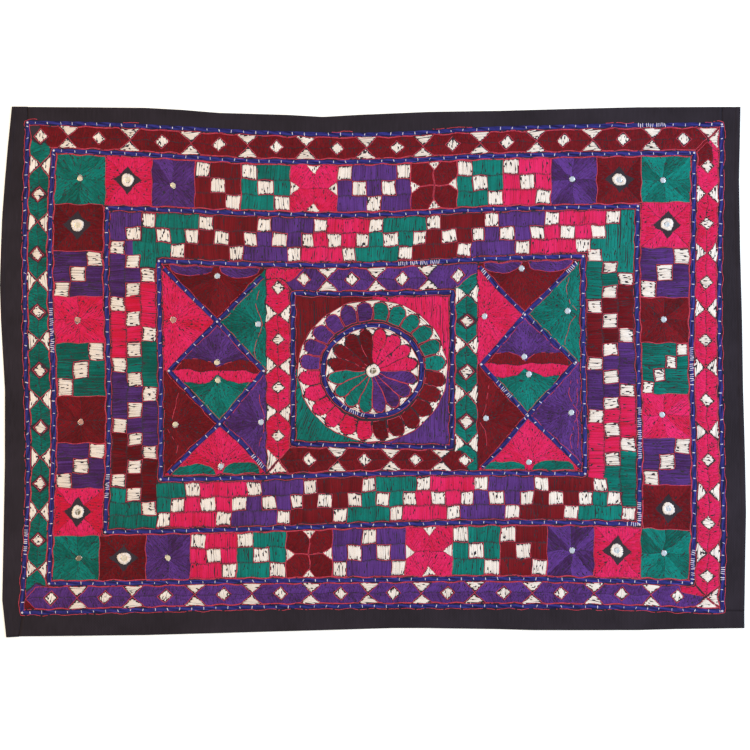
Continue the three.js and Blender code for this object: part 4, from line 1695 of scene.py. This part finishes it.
# The outer edges of the border, as points on the cloth from one end of a side to the other
EDGES = {
    "left": [(-398, -550), (-342, -556), (-290, -555), (-132, -552), (-27, -552), (25, -555), (78, -558),
             (130, -559.5), (183, -558), (235, -556), (288, -552), (340, -547.5), (398, -541.5)],
    "right": [(-363, 557), (-290, 558), (-210, 559.5), (-132, 558), (-27, 555), (78, 553.5),
              (183, 550.5), (288, 549), (340, 550), (397.5, 551)],
    "top": [(-516, 397.5), (-440, 397), (-340, 396), (-285, 393), (-232, 388.5), (-127, 385.5),
            (-75, 382.5), (-22, 385.5), (82, 390), (187, 391.5), (292, 394.5), (397, 397), (523, 397.5)],
    "bottom": [(-532, -396.5), (-340, -394.5), (-232, -391.5), (-127, -388.5), (-22, -385.5),
               (30, -384), (82, -384), (187, -385.5), (240, -387), (397, -387), (450, -385.5),
               (557, -384)],
}


def edge_at(side, along):
    """How far out the cloth's edge is on a side, at places along it."""
    at, out = np.array(EDGES[side], float).T
    return np.interp(along, at, out)


# Ends of the border's seams and edges, on the cloth: the left seam leans out below the panel
SEAM_FOOT = (-531, -397)
LEFT_END, LEFT_HEAD, RIGHT_HEAD = -398, 398, 397.5
RIGHT_SEAM_END = -363
BOTTOM_RIGHT = (557, -384)
SIDE_STEPS, LONG_STEPS = 160, 220
END_POINTS = 8  # points in each stretch past the panel's corner
SEAM = 0.02  # the strips all but meet the panel and each other
STRIP_STEPS = 9  # from the seam to the hem
HEM = {"width": 7.0, "step": 1.0, "fold": 1.6, "rounding": 0.35}


def strip(name, seam, edge):
    """A border strip between its seam and its outer edge, with a narrow hem turned under."""
    seam, edge = np.array(seam, float), np.array(edge, float)
    reach = np.hypot(*(edge - seam).T)
    shares = [np.linspace(0, 1 - (HEM["width"] + 1.5 * HEM["step"]) / reach, STRIP_STEPS)]
    shares.append((1 - HEM["width"] / reach)[None])
    shares.append(np.linspace(1 - (HEM["width"] - HEM["step"]) / reach, np.ones_like(reach), 4))
    share = np.vstack(shares)
    grid = seam[None] + (edge - seam)[None] * share[:, :, None]
    thick = np.full(share.shape, COTTON)
    thick[STRIP_STEPS + 1:] = HEM["fold"]
    thick[-1] = HEM["fold"] - HEM["rounding"]
    thick[0] = COTTON - HEM["rounding"]
    if np.cross(seam[-1] - seam[0], edge[0] - seam[0]) < 0:
        grid, thick = grid[::-1], thick[::-1]
    return cloth_sheet(name, grid, 0.0, thick.ravel(), name.replace("cotton_", ""), BORDER_COTTON)


def chart_line(x0, y0, x1, y1, steps=SIDE_STEPS):
    """A straight chart line as points on the cloth."""
    t = np.linspace(0, 1, steps + 1)
    return worked(np.stack([x0 + (x1 - x0) * t, y0 + (y1 - y0) * t], axis=1))


def border_strips():
    """The four strips between the panel's edges and the outer edges of the cloth."""
    x, y = OUTER
    left = chart_line(-x, -y, -x, y) - (SEAM, 0)
    foot = np.linspace(SEAM_FOOT, left[0], END_POINTS)[:-1]
    head = np.linspace(left[-1], (left[-1][0], LEFT_HEAD), END_POINTS)[1:]
    left = np.vstack([foot, left, head])
    heights = left[:, 1].copy()
    heights[0] = LEFT_END
    left_edge = np.stack([edge_at("left", heights), heights], axis=1)

    right = chart_line(x, -y, x, y) + (SEAM, 0)
    right = np.vstack([right, np.linspace(right[-1], (right[-1][0], RIGHT_HEAD), END_POINTS)[1:]])
    right_edge = np.stack([edge_at("right", right[:, 1]), right[:, 1]], axis=1)

    top = chart_line(-x, y, x, y, LONG_STEPS) + (0, SEAM)
    top[0, 0] = left[-END_POINTS, 0] + SEAM
    top[-1, 0] = right[-END_POINTS, 0] - SEAM
    top_edge = np.stack([top[:, 0], edge_at("top", top[:, 0])], axis=1)

    bottom = chart_line(-x, -y, x, -y, LONG_STEPS) - (0, SEAM)
    bottom_edge = np.stack([bottom[:, 0], edge_at("bottom", bottom[:, 0])], axis=1)
    bottom_edge[:END_POINTS, 0] += np.linspace(SEAM_FOOT[0] + SEAM - bottom[0, 0], 0, END_POINTS)
    end = np.array([edge_at("right", RIGHT_SEAM_END), right[0, 1] - SEAM])
    steps = np.linspace(0, 1, END_POINTS + 1)[1:, None]
    bottom_edge = np.vstack([bottom_edge, bottom_edge[-1] + (BOTTOM_RIGHT - bottom_edge[-1]) * steps])
    bottom = np.vstack([bottom, bottom[-1] + (end - bottom[-1]) * steps])

    runs = {
        "cotton_border_left": (left, left_edge),
        "cotton_border_top": (top, top_edge),
        "cotton_border_right": (right, right_edge),
        "cotton_border_bottom": (bottom, bottom_edge),
    }
    return {name: strip(name, *run) for name, run in runs.items()}


borders = border_strips()
panel_grid = chart_grid(*OUTER, PANEL_STEP)
ground = cloth_sheet("cotton_ground", panel_grid, 0.0, COTTON, "embroidered_panel", PANEL_COTTON)

work = [stitches(f"stitches_{thread}", rows, MATERIALS[thread]) for thread, rows in sewn.items()]


FLOOR = {"size": 30, "height": -0.0006, "grey": 0.92, "glow": 0.4}
SKY_STRENGTH = 0.42
# Softboxes: name, place, size in metres, power in watts and colour
SOFTBOXES = (
    ("left softbox", (-1.7, 0.25, 1.5), 1.2, 26, (1, 0.72, 0.36)),
    ("right softbox", (1.7, 0.25, 1.5), 1.2, 34, (0.75, 0.89, 1)),
)
# The camera is over the middle of the photo and sees as wide a strip as the photo does, in metres
CAMERA = {"place": (0.003, -0.0045, 4.0), "sees": 1.125, "sensor": 36, "clip_end": 40}


def stage():
    """A plain pale floor, soft light from above and a little from each side."""
    bpy.ops.mesh.primitive_plane_add(size=FLOOR["size"], location=(0, 0, FLOOR["height"]))
    floor = bpy.context.object
    floor.name = "floor"
    material, _, shader = new_material("pale floor")
    shader.inputs["Base Color"].default_value = (*[FLOOR["grey"]] * 3, 1)
    shader.inputs["Roughness"].default_value = 1.0
    shader.inputs["Emission Color"].default_value = (1, 1, 1, 1)
    shader.inputs["Emission Strength"].default_value = FLOOR["glow"]
    floor.data.materials.append(material)
    world = bpy.data.worlds.new("studio")
    world.use_nodes = True
    background = world.node_tree.nodes["Background"]
    background.inputs["Color"].default_value = (1, 1, 1, 1)
    background.inputs["Strength"].default_value = SKY_STRENGTH
    bpy.context.scene.world = world
    for name, place, size, power, colour in SOFTBOXES:
        light = bpy.data.lights.new(name, "AREA")
        light.energy, light.size, light.color = power, size, colour
        lamp = bpy.data.objects.new(name, light)
        lamp.location = place
        lamp.rotation_euler = direction_to(place)
        bpy.context.scene.collection.objects.link(lamp)


def direction_to(place):
    """The turn that points a lamp at the middle of the cloth."""
    return (-Vector(place)).to_track_quat("-Z", "Y").to_euler()


def camera():
    """Straight above the middle of the photo, from far enough to look nearly flat."""
    lens = bpy.data.cameras.new("camera")
    lens.sensor_width = CAMERA["sensor"]
    lens.lens = CAMERA["sensor"] * CAMERA["place"][2] / CAMERA["sees"]
    lens.clip_end = CAMERA["clip_end"]
    eye = bpy.data.objects.new("camera", lens)
    eye.location = CAMERA["place"]
    bpy.context.scene.collection.objects.link(eye)
    bpy.context.scene.camera = eye


stage()
camera()
bpy.context.scene.view_settings.view_transform = "Standard"
